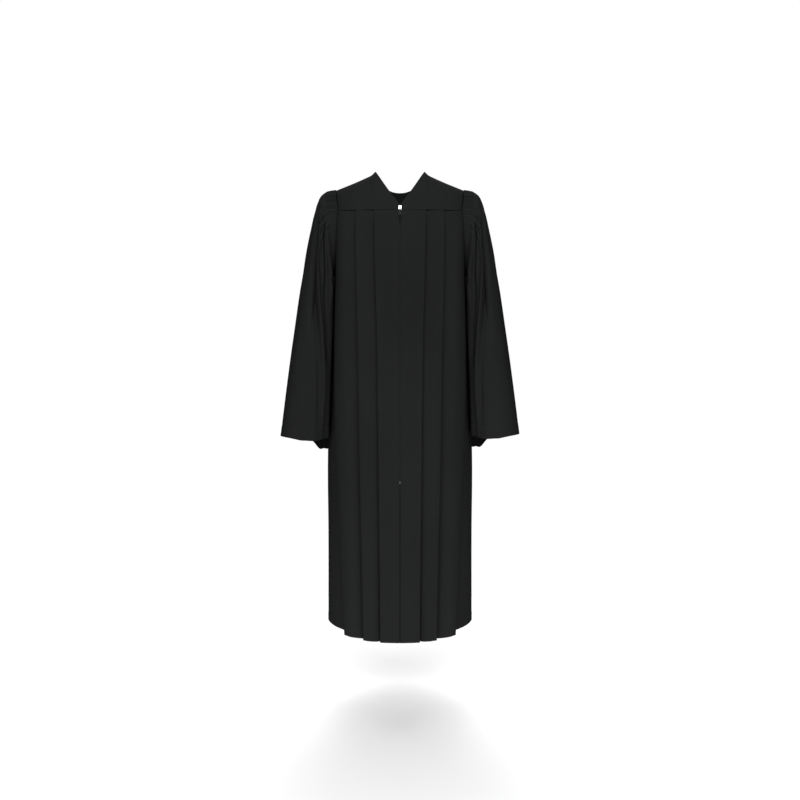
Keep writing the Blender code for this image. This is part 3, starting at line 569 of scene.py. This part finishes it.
def stitched(name, lines, length=0.0026, pitch=0.0036, thick=0.00022):
    """Rows of small stitches along lines, each a path of points and the normals under it."""
    points, faces = [], []
    for path, normals in lines:
        run = np.concatenate([[0], np.cumsum(np.linalg.norm(np.diff(path, axis=0), axis=1))])
        for middle in np.arange(pitch / 2, run[-1] - pitch / 2, pitch):
            start, centre, end = (
                np.array([np.interp(middle + s * length, run, path[:, k]) for k in range(3)])
                for s in (-0.5, 0, 0.5))
            up = np.array([np.interp(middle, run, normals[:, k]) for k in range(3)])
            up /= np.linalg.norm(up)
            forward = (end - start) / np.linalg.norm(end - start)
            side = np.cross(forward, up)
            first = len(points)
            for place, size in STITCH_STATIONS:
                at = centre + forward * place * length
                if size == 0.0:
                    points.append(at - up * thick * 0.5)
                    continue
                points += [at + side * a * thick * size + up * b * thick * size
                           for a, b in STITCH_RING]
            last = len(points) - 1
            for k in range(4):
                faces.append((first, first + 1 + k, first + 1 + (k + 1) % 4))
                for s in range(2):
                    a, b = first + 1 + 4 * s + k, first + 1 + 4 * s + (k + 1) % 4
                    faces.append((a, a + 4, b + 4, b))
                faces.append((last, last - 4 + (k + 1) % 4, last - 4 + k))
    make_piece(name, points, faces, sewing_thread, crisp=80)


def sewn_line(grid, places, thickness, closed=False):
    """The path of stitches on the outside of the cloth, at these places of its grid."""
    up = grid_normals(grid, closed)[0][places]
    path = grid[places] + up * (thickness / 2 + STITCH_CLEARANCE)
    if closed:
        path, up = np.vstack([path, path[:1]]), np.vstack([up, up[:1]])
    return path, up


def mirrored(grid, side="right"):
    """The left half's points as they lie on this side."""
    return grid * (-1, 1, 1) if side == "right" else grid


def cloth_piece(name, node, grid, thickness, closed=False,
                material=robe_cloth):
    """The cloth that stands for a CAD node, which is hidden in its place."""
    piece = cloth_shell(name, grid, thickness, material, closed)
    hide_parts(node)


# ---- Fronts and back ----

# A wave that ends below this runs off the hem
WAVE_RUNS_OFF_Z = -1.3
WAVE_WANDER = 0.003
WAVE_FADE_IN = 0.14
WAVE_FADE_OUT = 0.16


def wave_lift(waves, x, height, top):
    """How far a panel's soft waves lift it at this way out and height."""
    down = (top - height) / (top - HEM_Z)
    lift = np.zeros_like(x)
    for at_top, at_hem, tall, half_width, starts, ends in waves:
        middle = between(at_top, at_hem, down) + WAVE_WANDER * math.sin(9 * height + 40 * at_top)
        fade_out = eased((height - ends) / WAVE_FADE_OUT + (ends < WAVE_RUNS_OFF_Z))
        along = float(eased((starts - height) / WAVE_FADE_IN) * fade_out)
        lift += ridge(x - middle, tall * along, half_width)
    return lift


# Rows below the yoke seam and above the hem, and the pitch of those between
SEAM_ROWS = (0.0, 0.0010, 0.0022, 0.0038, 0.0060, 0.0090, 0.0130, 0.0180, 0.0240)
HEM_ROWS = (0.0285, 0.0270, 0.0260, 0.0250, 0.0235, 0.0160, 0.0080, 0.0030, 0.0008, 0.0)
ARMHOLE_ROW_DEGREES = 3.6
ROW_PITCH = 0.0115
HEM_TURN = 0.026
TURN_EDGE = 0.001
# Extra columns beside a front panel's centre edge
EDGE_COLUMNS = np.array([0.0004, 0.0008, 0.0013])
HEM_STITCH_ROW = 3 - len(HEM_ROWS)
TOPSTITCH_COLUMN = 8
TOPSTITCH_START_ROW = 4


def panel_heights(top):
    """Heights of a panel's rows, close together at the seam, the armhole and the hem."""
    heights = [top - SEAM_GAP / 2 - drop for drop in SEAM_ROWS]
    for angle in np.arange(0, 180.1, ARMHOLE_ROW_DEGREES):
        z = ARMHOLE_MID_Z + ARMHOLE_HALF_HEIGHT * math.cos(math.radians(angle))
        if z < heights[-1] - 0.002:
            heights.append(z)
    last = HEM_Z + HEM_ROWS[0]
    count = round((heights[-1] - last) / ROW_PITCH)
    heights += list(np.linspace(heights[-1], last, count + 1)[1:-1])
    return heights + [HEM_Z + rise for rise in HEM_ROWS]


# Dips and ridges as height and half width
SEAM_DIP = (0.0017, 0.0042)
HEM_LINE_DIP = (0.0003, 0.002)
SIDE_SEAM_DIP = (0.0008, 0.0025)
SIDE_SEAM_OVERLAP = 0.0005
POST_ROOM = (0.0007, 0.010)
STOP_ROOM = (0.0004, 0.005)
STOP_ABOVE_END = 0.006
ZIP_END_FADE = 0.02
DIMPLE_Z = -0.141
# Each pair is beside the zip and below it, where the fronts are sewn together
EDGE_GAP = (0.0004, 0.00006)
GROOVE_DEPTH = (0.0007, 0.0037)
GROOVE_HALF_WIDTH = (0.0022, 0.0014)
ZIP_RIPPLE_HEIGHT = (0.00028, 0.00016)
# Puckers: height and reach, then how their waves run
PANEL_PUCKERS = (0.00035, 0.012, 540, 1.7, 130)
YOKE_PUCKERS = (0.00022, 0.010, 480, 1.5, 110)
PUCKER_START = 0.003


def below_zip(height):
    return float(eased((ZIP_END_Z - height) / ZIP_END_FADE))


def zip_edge(height):
    """How far each front edge stands from the centre, with room for the slider and the stop."""
    return (between(*EDGE_GAP, below_zip(height)) + ridge(height - SLIDER_Z, *POST_ROOM)
            + ridge(height - ZIP_END_Z - STOP_ABOVE_END, *STOP_ROOM))


def dimple(run, height):
    """How deep the closed front sinks in just below the slider."""
    return ridge(run, ridge(height - DIMPLE_Z, 0.0052, 0.013), 0.0030)


def centre_rise(run, height):
    """The groove along the front's centre, the ripples beside it and the dimple."""
    sewn = below_zip(height)
    groove = ridge(run, between(*GROOVE_DEPTH, sewn), between(*GROOVE_HALF_WIDTH, sewn))
    ripple = uneven_wave(height, 330, 2, 71) + 0.6 * math.sin(height * 128 + 1)
    ripple = ridge(run - 0.007, between(*ZIP_RIPPLE_HEIGHT, sewn) * ripple, 0.006)
    return ripple - groove - dimple(run, height)


def puckers(place, from_seam, height, reach, *wave):
    """Small puckers that sewing leaves beside a yoke seam."""
    fade = np.exp(-from_seam / reach) * eased(from_seam / PUCKER_START)
    return height * uneven_wave(place, *wave) * fade


def panel_grid(depth_name, pleats, waves, top, start_at, strength=1.0):
    """Rows of points down a pleated left half panel, from as far out as start_at says."""
    front = depth_name == "front"
    side = 1 if front else -1
    rows = []
    for height in panel_heights(top):
        outline = Outline(height, depth_name)
        run, rise = pleated_line(outline, height, pleats, start_at(height), top).T
        if front:
            run = np.concatenate([run[:1], run[0] + EDGE_COLUMNS, run[1:]])
            rise = np.concatenate([rise[:1], 0 * EDGE_COLUMNS, rise[1:]])
            rise = rise + centre_rise(run, height)
        flat_x = np.interp(run, outline.run, outline.x)
        side_seam = math.exp(-1.0) if height > UNDERARM_Z else 1.0
        rise = (rise + strength * wave_lift(waves, flat_x, height, top)
                + puckers(flat_x, top - height, *PANEL_PUCKERS) - ridge(top - height, *SEAM_DIP)
                - ridge(height - HEM_Z - HEM_TURN, *HEM_LINE_DIP)
                - side_seam * ridge(run - run[-1], *SIDE_SEAM_DIP))
        x, y = outline.point(run, rise)
        x[0] = start_at(height)
        if height <= UNDERARM_Z:
            y[-1] = SIDE_SEAM_OVERLAP
        rows.append(np.stack([x, side * y, height + hem_rise(x, height, top)], -1))
    return np.array(rows)


def hem_thickness(top):
    """The cloth is doubled where the hem is turned up."""
    above_hem = np.array(panel_heights(top)) - HEM_Z
    doubled = eased((HEM_TURN + TURN_EDGE / 2 - above_hem) / TURN_EDGE)
    return between(CLOTH, HEMMED, doubled)[:, None]


def build_fronts():
    zip_rows = sum(height > ZIP_END_Z - ZIP_END_FADE for height in panel_heights(FRONT_SEAM_Z))
    beside_zip = (slice(TOPSTITCH_START_ROW, zip_rows), TOPSTITCH_COLUMN)
    for side, strength in (("left", 1.0), ("right", 0.85)):
        grid = mirrored(panel_grid("front", FRONT_PLEATS, FRONT_WAVES, FRONT_SEAM_Z, zip_edge,
                                   strength), side)
        cloth_piece("front_cloth_" + side, "front_" + side, grid,
                    hem_thickness(FRONT_SEAM_Z))
        stitched("front_stitches_" + side, [sewn_line(grid, HEM_STITCH_ROW, HEMMED),
                                            sewn_line(grid, beside_zip, CLOTH)])


def build_back():
    left, right = (panel_grid("back", BACK_PLEATS, BACK_WAVES, BACK_SEAM_Z, lambda height: 0.0,
                              strength) for strength in (1.0, 0.8))
    left[:, 0] = right[:, 0] = (left[:, 0] + right[:, 0]) / 2
    grid = np.concatenate([mirrored(right)[:, :0:-1], left], axis=1)
    stitched("back_stitches", [sewn_line(grid, HEM_STITCH_ROW, HEMMED)])
    cloth_piece("back_cloth", "back_panel", grid, hem_thickness(BACK_SEAM_Z))


# ---- Yokes ----

def v_neck_height(x):
    share = (x - ZIP_HALF_GAP) / (NECK_HALF - ZIP_HALF_GAP)
    rise = share * (NECK_TIP_RISE - V_POINT_Z)
    return V_POINT_Z + rise - V_NECK_BOW * math.sin(math.pi * share)


def back_neck_height(x):
    across = min(1.0, x / NECK_HALF)
    return NECK_TIP_RISE - (NECK_TIP_RISE + BACK_NECK_DROP) * (1 - across ** 2.2) ** 0.8


def shoulder_height(x):
    out = max(0.0, x - NECK_HALF)
    share = out / (SHOULDER_HALF - NECK_HALF)
    tip = NECK_TIP_RISE * math.exp(-(out / NECK_TIP_WIDTH) ** 2)
    return tip - SHOULDER_DROP * share - SHOULDER_BOW * math.sin(math.pi * share)


YOKE_SHARES = np.concatenate([[0, 0.012, 0.03, 0.06], np.linspace(0.10, 0.90, 17),
                              [0.94, 0.965, 0.985, 1.0]])
ARMHOLE_COLUMNS = np.array([0.0018, 0.0008, 0.0])
# The yoke's edge laps over the panel sewn in behind it, and its allowance turns in above it
YOKE_LAP = 0.0010
ALLOWANCE_RISE = 0.0006
ALLOWANCE_DEPTHS = (0.0009, 0.0065)
SHOULDER_SEAM_Y = -0.00003
YOKE_SEAM_LIFT = (0.0002, 0.0036)
SHOULDER_SEAM_DIP = (0.0006, 0.0028)
YOKE_ARMHOLE_DIP = (0.0003, 0.0030)
YOKE_STITCH_ROW = -6
NECK_STITCH_ROW = 3
# Where the neck's turned edge ends, in from the edge and out past the neck
NECK_TURN = (0.0085, 0.0015)
NECK_TURN_END = (-0.004, 0.006)


def yoke_grid(columns, seam_z, depth_name, neck_height):
    """Rows of points down the left half of a yoke, then its allowance behind the seam."""
    side = 1 if depth_name == "front" else -1
    outline = Outline(seam_z, depth_name)
    turn = math.acos((seam_z - ARMHOLE_MID_Z) / ARMHOLE_HALF_HEIGHT)
    grid = []
    for x in columns:
        share = x / SHOULDER_HALF
        near_armhole = float(clamped((share - INSET_FROM_SHARE) / (1 - INSET_FROM_SHARE)))
        bottom_x, bottom_y = outline.point(share * side_run(outline, seam_z),
                                           -ARMHOLE_INSET * near_armhole ** 2)
        top = shoulder_height(x)
        fall = top - seam_z
        start = 0.0
        if x < NECK_HALF:
            start = math.acos(1 - (top - neck_height(x)) / fall * (1 - math.cos(turn))) / turn
        t = start + (1 - start) * YOKE_SHARES
        out = bottom_y * np.sin(t * turn) / math.sin(turn)
        z = top - fall * (1 - np.cos(t * turn)) / (1 - math.cos(turn))
        z[-1] = seam_z - YOKE_LAP
        if x >= NECK_HALF:
            out[0] = SHOULDER_SEAM_Y
        grid.append(np.stack([x + (bottom_x - x) * (out / bottom_y) ** 2, side * out, z], -1))
    grid = np.array(grid).transpose(1, 0, 2)
    normals, _ = grid_normals(grid, False)
    to_seam, from_shoulder, to_armhole = (
        np.linalg.norm(grid - edge, axis=2) for edge in (grid[-1:], grid[:1], grid[:, -1:]))
    beyond_neck = eased((np.asarray(columns) - NECK_HALF) / 0.01)[None]
    lift = (ridge(to_seam, *YOKE_SEAM_LIFT) - ridge(to_armhole, *YOKE_ARMHOLE_DIP)
            - ridge(from_shoulder, *SHOULDER_SEAM_DIP) * beyond_neck
            + puckers(grid[..., 0], to_seam, *YOKE_PUCKERS))
    sag = 0.0011 * np.sin(grid[..., 0] * 60 + 1) * np.sin(math.pi * clamped(to_seam / 0.08)) ** 2
    grid = grid + normals * (lift + sag)[..., None]
    inward = -normals[-1] * (1, 1, 0)
    inward /= np.linalg.norm(inward, axis=1, keepdims=True)
    rise = (0, 0, YOKE_LAP + ALLOWANCE_RISE)
    return np.concatenate([grid, [grid[-1] + inward * depth + rise for depth in ALLOWANCE_DEPTHS]])


def neck_thickness(grid, columns):
    """The neck edge is turned in, so it is thicker for a finger's width."""
    from_edge = np.linalg.norm(grid - grid[:1], axis=2)
    past_neck = rising(np.asarray(columns) - NECK_HALF, *NECK_TURN_END)[None]
    return between(CLOTH, HEMMED, (1 - past_neck) * (1 - rising(from_edge, *NECK_TURN)))


def yoke_columns(start):
    return np.concatenate([start + (NECK_HALF - start) * np.linspace(0, 1, 27),
                           np.linspace(NECK_HALF, SHOULDER_HALF, 29)[1:-1],
                           SHOULDER_HALF - ARMHOLE_COLUMNS])


def build_yokes():
    columns = yoke_columns(ZIP_HALF_GAP)
    neck = int(np.argmin(np.abs(columns - NECK_HALF))) + 1
    half = yoke_grid(columns, FRONT_SEAM_Z, "front", v_neck_height)
    half[:, 0, 0] = ZIP_HALF_GAP
    for side in ("left", "right"):
        grid = mirrored(half, side)
        cloth_piece("front_yoke_cloth_" + side, "front_yoke_" + side, grid,
                    neck_thickness(grid, columns))
        stitched("front_yoke_stitches_" + side, [
            sewn_line(grid, YOKE_STITCH_ROW, CLOTH),
            sewn_line(grid, (NECK_STITCH_ROW, slice(neck)), HEMMED)])
    columns = yoke_columns(0.0)
    half = yoke_grid(columns, BACK_SEAM_Z, "back", back_neck_height)
    grid = np.concatenate([mirrored(half)[:, :0:-1], half], axis=1)
    cloth_piece("back_yoke_cloth", "back_yoke", grid,
                neck_thickness(grid, np.concatenate([columns[:0:-1], columns])))
    round_neck = slice(len(columns) - neck, len(columns) + neck - 1)
    stitched("back_yoke_stitches", [sewn_line(grid, YOKE_STITCH_ROW, CLOTH),
                                    sewn_line(grid, (NECK_STITCH_ROW, round_neck), HEMMED)])


# ---- Sleeves ----

SEWN_CLEARANCE = 0.0004
HANGING_CLEARANCE = 0.0011
# The cloth's own folds take the place of most of the CAD part's broad gathers
GATHER_SHARE = 0.35
# Shirring at the head and flutes below it: stretches to the sides in degrees, or down
SHIRRING_PITCH = 4.2
SHIRRING_HEIGHT = 0.0015
SHIRRING_SIDES = (60, 14)
SHIRRING_FADE = (0.026, 0.016)
SHIRRING_STITCHES = (0.010, 0.020)
FLUTE_PITCH = 11.5
FLUTE_HEIGHT = 0.0016
FLUTE_SIDES = (75, 25)
FLUTE_START = (0.018, 0.022)
FLUTE_FADE = (0.05, 0.13)
ARMHOLE_SEAM_DIP = (0.0005, 0.0030)


def armhole_edge(angle, side):
    """The body's edge at this angle from the armhole's top; side is 1 in front, -1 behind."""
    turn = math.radians(angle)
    depth = ARMHOLE_HALF_DEPTH * math.sin(turn)
    z = ARMHOLE_MID_Z + ARMHOLE_HALF_HEIGHT * math.cos(turn)
    outline = Outline(z, "front" if side > 0 else "back")
    x = SHOULDER_HALF
    if depth > 1e-6:
        x = float(outline.point(outline.run_at_y(-depth), -ARMHOLE_INSET)[0])
    blend = float(clamped((ARMHOLE_TOP_Z - z) / SHOULDER_TIP_BLEND))
    return SHOULDER_HALF * (1 - blend) + x * blend + SEWN_CLEARANCE, side * -depth, z


def ring_points(row, turns):
    """The wall's middle on one ring, at angles from its outermost point, below 0 in front."""
    across, along = np.cos(turns), np.sin(turns)
    flattened = across < 0
    roundness = row["roundness"]
    squarer = np.copysign(np.abs(along) ** ((1 + roundness) / 2), along)
    along = np.where(flattened, squarer, along)
    across = np.where(flattened, -(np.abs(across) ** roundness), across)
    outer, inner = (np.array([row[k + "_x"], 0, row[k + "_z"]]) for k in ("outer", "inner"))
    depth = np.where(turns < 0, row["front"], row["back"])
    return ((outer + inner) / 2 + (outer - inner) / 2 * across[:, None]
            + (depth * along)[:, None] * (0, 1, 0))


def body_side(y, z):
    """How far out the body's side lies at these places, where the sleeve hangs against it."""
    half_width, front, back, square = (
        at_height(BODY, name, z) for name in ("half_width", "front", "back", "square"))
    depth = np.where(y < 0, front, back)
    inset = ridge(y, side_lift(z), 0.055)
    return half_width * (1 - clamped(np.abs(y) / depth) ** square) ** (1 / square) + inset


def round_from(degrees, middle):
    return (degrees - middle + 180) % 360 - 180


def fold_lift(degrees, down, tall, front_width, back_width, places):
    """How far one of the sleeve's own folds lifts it."""
    turns, shares = zip(*places)
    middle = smooth_through(shares, turns, down[:, 0])[:, None]
    at_cuff = 0.9 < shares[-1] < 1
    ends = 1 if at_cuff else eased((shares[-1] - down) / (0.35 * (shares[-1] - shares[0])))
    starts = rising(down, shares[0], 0.05 if shares[0] < 0.1 else 0.12)
    away = round_from(degrees, middle)
    return ridge(away, tall * (starts * ends), np.where(away < 0, front_width, back_width))


def sleeve_lift(degrees, down, metres):
    """How far gathers, folds, shirring and flutes lift the sleeve at each place."""
    lift = np.zeros(np.broadcast_shapes(degrees.shape, down.shape))
    for gather in GATHERS:
        middle = between(gather["turn_top"], gather["turn_end"], down ** 0.8)
        along = eased(down / gather["starts"]) * eased((gather["ends"] - down) / GATHER_FADE + 0.5)
        lift += ridge(degrees - middle, GATHER_SHARE * gather["height"] * along, gather["width"])
    for fold in SLEEVE_FOLDS:
        lift += fold_lift(degrees, down, *fold)

    phase = (degrees / SHIRRING_PITCH + 0.30 * np.sin(degrees * 0.17)
             + 0.16 * np.sin(degrees * 0.61 + 1))
    tucks = np.cos(2 * math.pi * phase) + 0.35 * np.cos(math.pi * phase + 1.0)
    tucks = tucks * (1 - rising(np.abs(degrees), *SHIRRING_SIDES))
    held = 1 - sum(ridge(metres - row, 0.45, 0.0016) for row in SHIRRING_STITCHES)
    lift += (SHIRRING_HEIGHT * tucks * held * eased(metres / 0.003)
             * (1 - rising(metres, *SHIRRING_FADE)))

    phase = degrees / FLUTE_PITCH + 0.25 * np.sin(degrees * 0.09 + 0.5)
    flutes = np.cos(2 * math.pi * phase) * (1 - rising(np.abs(degrees), *FLUTE_SIDES))
    lift += FLUTE_HEIGHT * flutes * rising(metres, *FLUTE_START) * (1 - rising(metres, *FLUTE_FADE))
    return lift - ridge(metres, *ARMHOLE_SEAM_DIP)


# As many columns over the shirred head, this far to each side, as round the rest
HEAD_HALF_TURN = 76
COLUMNS_EACH = 200
HEAD_ROWS = np.concatenate([[0, 0.0009, 0.002, 0.0035], np.arange(0.0055, 0.060, 0.0027)])
MIDDLE_ROWS = 72
CUFF_TURN = 0.030
CUFF_ROWS = np.array([-0.0016, -0.0005, 0.0005, 0.0016, 0.010, 0.018, 0.025, 0.0285, CUFF_TURN])
CUFF_STITCH_ROW = -7
CUFF_LINE_DIP = (0.0004, 0.0016)
# From this far round and down, the sleeve lies against the body and keeps hardly any folds
WRAP_TURNS = (134, 24)
WRAP_DROP = (0.296, 0.012)
CALM_TURNS = (136, 28)
CALM_SHARE = 0.97


def sleeve_grid(cuff_lift, strength):
    """Rows of points down the left sleeve and their thickness."""
    head = np.linspace(-HEAD_HALF_TURN, HEAD_HALF_TURN, COLUMNS_EACH)
    rest = np.linspace(HEAD_HALF_TURN, 360 - HEAD_HALF_TURN, COLUMNS_EACH)[1:-1]
    degrees = np.sort(np.concatenate([head, round_from(rest, 0)]))
    turns = np.radians(degrees)
    from_outermost = np.abs(degrees)[None]
    rings = [[armhole_edge(abs(d), 1 if d < 0 else -1) for d in degrees]]
    rings = np.array(rings + [ring_points(row, turns) for row in SLEEVE_RINGS])
    outermost = int(np.argmin(from_outermost))
    lengths = np.linalg.norm(np.diff(rings[:, outermost], axis=0), axis=1)
    total = lengths.sum()
    stations = np.concatenate([[0], np.cumsum(lengths)]) / total
    cuff = total - CUFF_TURN
    metres = np.concatenate([HEAD_ROWS, np.linspace(0.062, cuff - 0.004, MIDDLE_ROWS),
                             cuff + CUFF_ROWS])
    down = (metres / total)[:, None]
    grid = smooth_through(stations, rings, down[:, 0])

    wrapped = rising(from_outermost, *WRAP_TURNS) * rising(-grid[..., 2], *WRAP_DROP)
    beside = body_side(grid[..., 1], grid[..., 2]) + HANGING_CLEARANCE
    grid[..., 0] += wrapped * np.minimum(beside - grid[..., 0], 0)
    drop = sum(ridge(round_from(degrees, low["angle"]), low["drop"], low["spread"])
               for low in CUFF_DROPS)
    fall = clamped((down - stations[-2]) / (1 - stations[-2]))
    grid[..., 2] -= drop * fall - cuff_lift * eased((down - 0.3) / 0.7)

    normals, _ = grid_normals(grid, True)
    calm = CALM_SHARE * rising(from_outermost, *CALM_TURNS) * eased(down / 0.2)
    lift = strength * sleeve_lift(degrees[None], down, metres[:, None]) * (1 - calm)
    lift = lift - ridge(metres - cuff, *CUFF_LINE_DIP)[:, None]
    grid = grid + normals * lift[..., None]
    doubled = rising(metres, cuff, TURN_EDGE)
    return grid, between(CLOTH, HEMMED, doubled)[:, None]


def build_sleeves():
    for side, cuff_lift, strength in (("left", 0.006, 0.94), ("right", 0.0, 1.0)):
        grid, thickness = sleeve_grid(cuff_lift, strength)
        grid = mirrored(grid, side)
        stitched("sleeve_stitches_" + side, [sewn_line(grid, CUFF_STITCH_ROW, HEMMED, True)])
        cloth_piece("sleeve_cloth_" + side, "sleeve_" + side, grid, thickness,
                    closed=True)


# ---- Zip ----

TAPE_BEHIND = 0.0020
# A tooth's section across and out, and its levels with their width
TOOTH_PITCH = 0.0013
TOOTH_REACH = 0.0003
TOOTH_SECTION = ((-0.0013, 0.0), (-0.0009, -0.00045), (0.0, -0.0006), (0.0009, -0.00045),
                 (0.0013, 0.0), (0.0, 0.0004))
TOOTH_LEVELS = ((0.00055, 0.7), (0.00025, 1.0), (-0.00025, 1.0), (-0.00055, 0.7))


def build_tapes():
    heights = np.concatenate([[FRONT_SEAM_Z - SEAM_GAP], np.arange(-0.120, ZIP_END_Z, -0.008),
                              [ZIP_END_Z]])
    run = np.linspace(SEAM_GAP / 2, TAPE_WIDTH, 7)
    rows = []
    for height in heights:
        x, y = Outline(height, "front").point(run, -TAPE_BEHIND - dimple(run, height))
        rows.append(np.stack([x, y, np.full(len(run), height)], -1))
    for side in ("left", "right"):
        cloth_piece("zip_tape_cloth_" + side, "zip_tape_" + side,
                    mirrored(np.array(rows), side), TAPE_WALL * 0.9,
                    material=zip_tape)


def build_zip_teeth():
    """Small rounded teeth that reach over the middle from the two tapes in turn."""
    points, faces = [], []
    count = len(TOOTH_SECTION)
    middle, side = FRONT_SEAM_Z - 0.003, 1
    while middle > ZIP_END_Z + 0.004:
        depth = -at_height(BODY, "front", middle) + TAPE_BEHIND - 0.0003 + dimple(0.0, middle)
        base = len(points)
        for level, wide in TOOTH_LEVELS:
            points += [(side * TOOTH_REACH + x * wide, depth + y * wide, middle + level)
                       for x, y in TOOTH_SECTION]
        for r in range(len(TOOTH_LEVELS) - 1):
            for k in range(count):
                a, b = base + r * count + k, base + r * count + (k + 1) % count
                faces.append((a, b, b + count, a + count))
        top = base + 3 * count
        faces += [tuple(base + k for k in reversed(range(count))), tuple(range(top, top + count))]
        middle, side = middle - TOOTH_PITCH, -side
    make_piece("zip_teeth", points, faces, sewing_thread)


def build_zip_metal():
    # The slider and stop get bright plated metal; the pull tab gets the same plating with painted
    # shade
    for name, finish in (("zip_slider", zip_metal), ("zip_pull_tab", shaded_tab_finish),
                         ("zip_bottom_stop", zip_metal)):
        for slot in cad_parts[name].material_slots:
            slot.material = finish


# ---- Studio ----

# Each light's strength, softness, way round from the front and how steeply it shines
STUDIO_LIGHTS = (
    ("left_light", 1.75, 42, -20, 28),
    ("right_light", 1.75, 42, 20, 28),
    ("front_light", 0.5, 60, 0, 50),
    ("left_back_light", 1.7, 40, -168, 40),
    ("right_back_light", 1.7, 40, 168, 40),
)
# The white background lights the robe only this much
ROOM_LIGHT = 0.12
ROOM_LIGHT_SLOPE = 0.05
# The floor is no wider, so that little light comes up from it
FLOOR_RADIUS = 1.3
FLOOR_Z = -1.5
FLOOR_SIDES = 96


def make_camera():
    data = bpy.data.cameras.new("photo_camera")
    data.lens, data.sensor_width, data.shift_y = 55.61, 36.0, -0.0808
    camera = bpy.data.objects.new("photo_camera", data)
    camera.location, camera.rotation_euler = (0, -3.6, -0.47), (math.radians(90), 0, 0)
    bpy.context.scene.collection.objects.link(camera)
    bpy.context.scene.camera = camera


def make_studio():
    scene = bpy.context.scene
    scene.view_settings.view_transform = "Standard"
    scene.world = bpy.data.worlds.new("studio")
    finish = Finish("studio", scene.world)
    _, depth = finish.first_two("Generated")
    seen = finish.node("ShaderNodeLightPath", out="Is Camera Ray")
    strength = seen + (1 - seen) * (ROOM_LIGHT - depth * ROOM_LIGHT_SLOPE)
    background = finish.node("ShaderNodeBackground", {
        "Color": (1, 1, 1, 1), "Strength": strength})
    finish.node("ShaderNodeOutputWorld", {"Surface": background})
    for name, energy, softness, round_by, down in STUDIO_LIGHTS:
        sun = bpy.data.lights.new(name, "SUN")
        sun.energy, sun.angle = energy, math.radians(softness)
        lamp = bpy.data.objects.new(name, sun)
        lamp.rotation_euler = (math.radians(90 - down), 0, math.radians(round_by))
        scene.collection.objects.link(lamp)
    turns = np.linspace(0, 2 * math.pi, FLOOR_SIDES + 1)[:-1]
    rim = [(FLOOR_RADIUS * math.cos(t), FLOOR_RADIUS * math.sin(t), FLOOR_Z) for t in turns]
    mesh = bpy.data.meshes.new("floor")
    mesh.from_pydata(rim, [], [tuple(range(FLOOR_SIDES))])
    mesh.materials.append(pale_floor("pale_floor"))
    floor = bpy.data.objects.new("floor", mesh)
    scene.collection.objects.link(floor)


make_camera()
make_studio()
build_yokes()
build_fronts()
build_back()
build_sleeves()
build_tapes()
build_zip_teeth()
build_zip_metal()
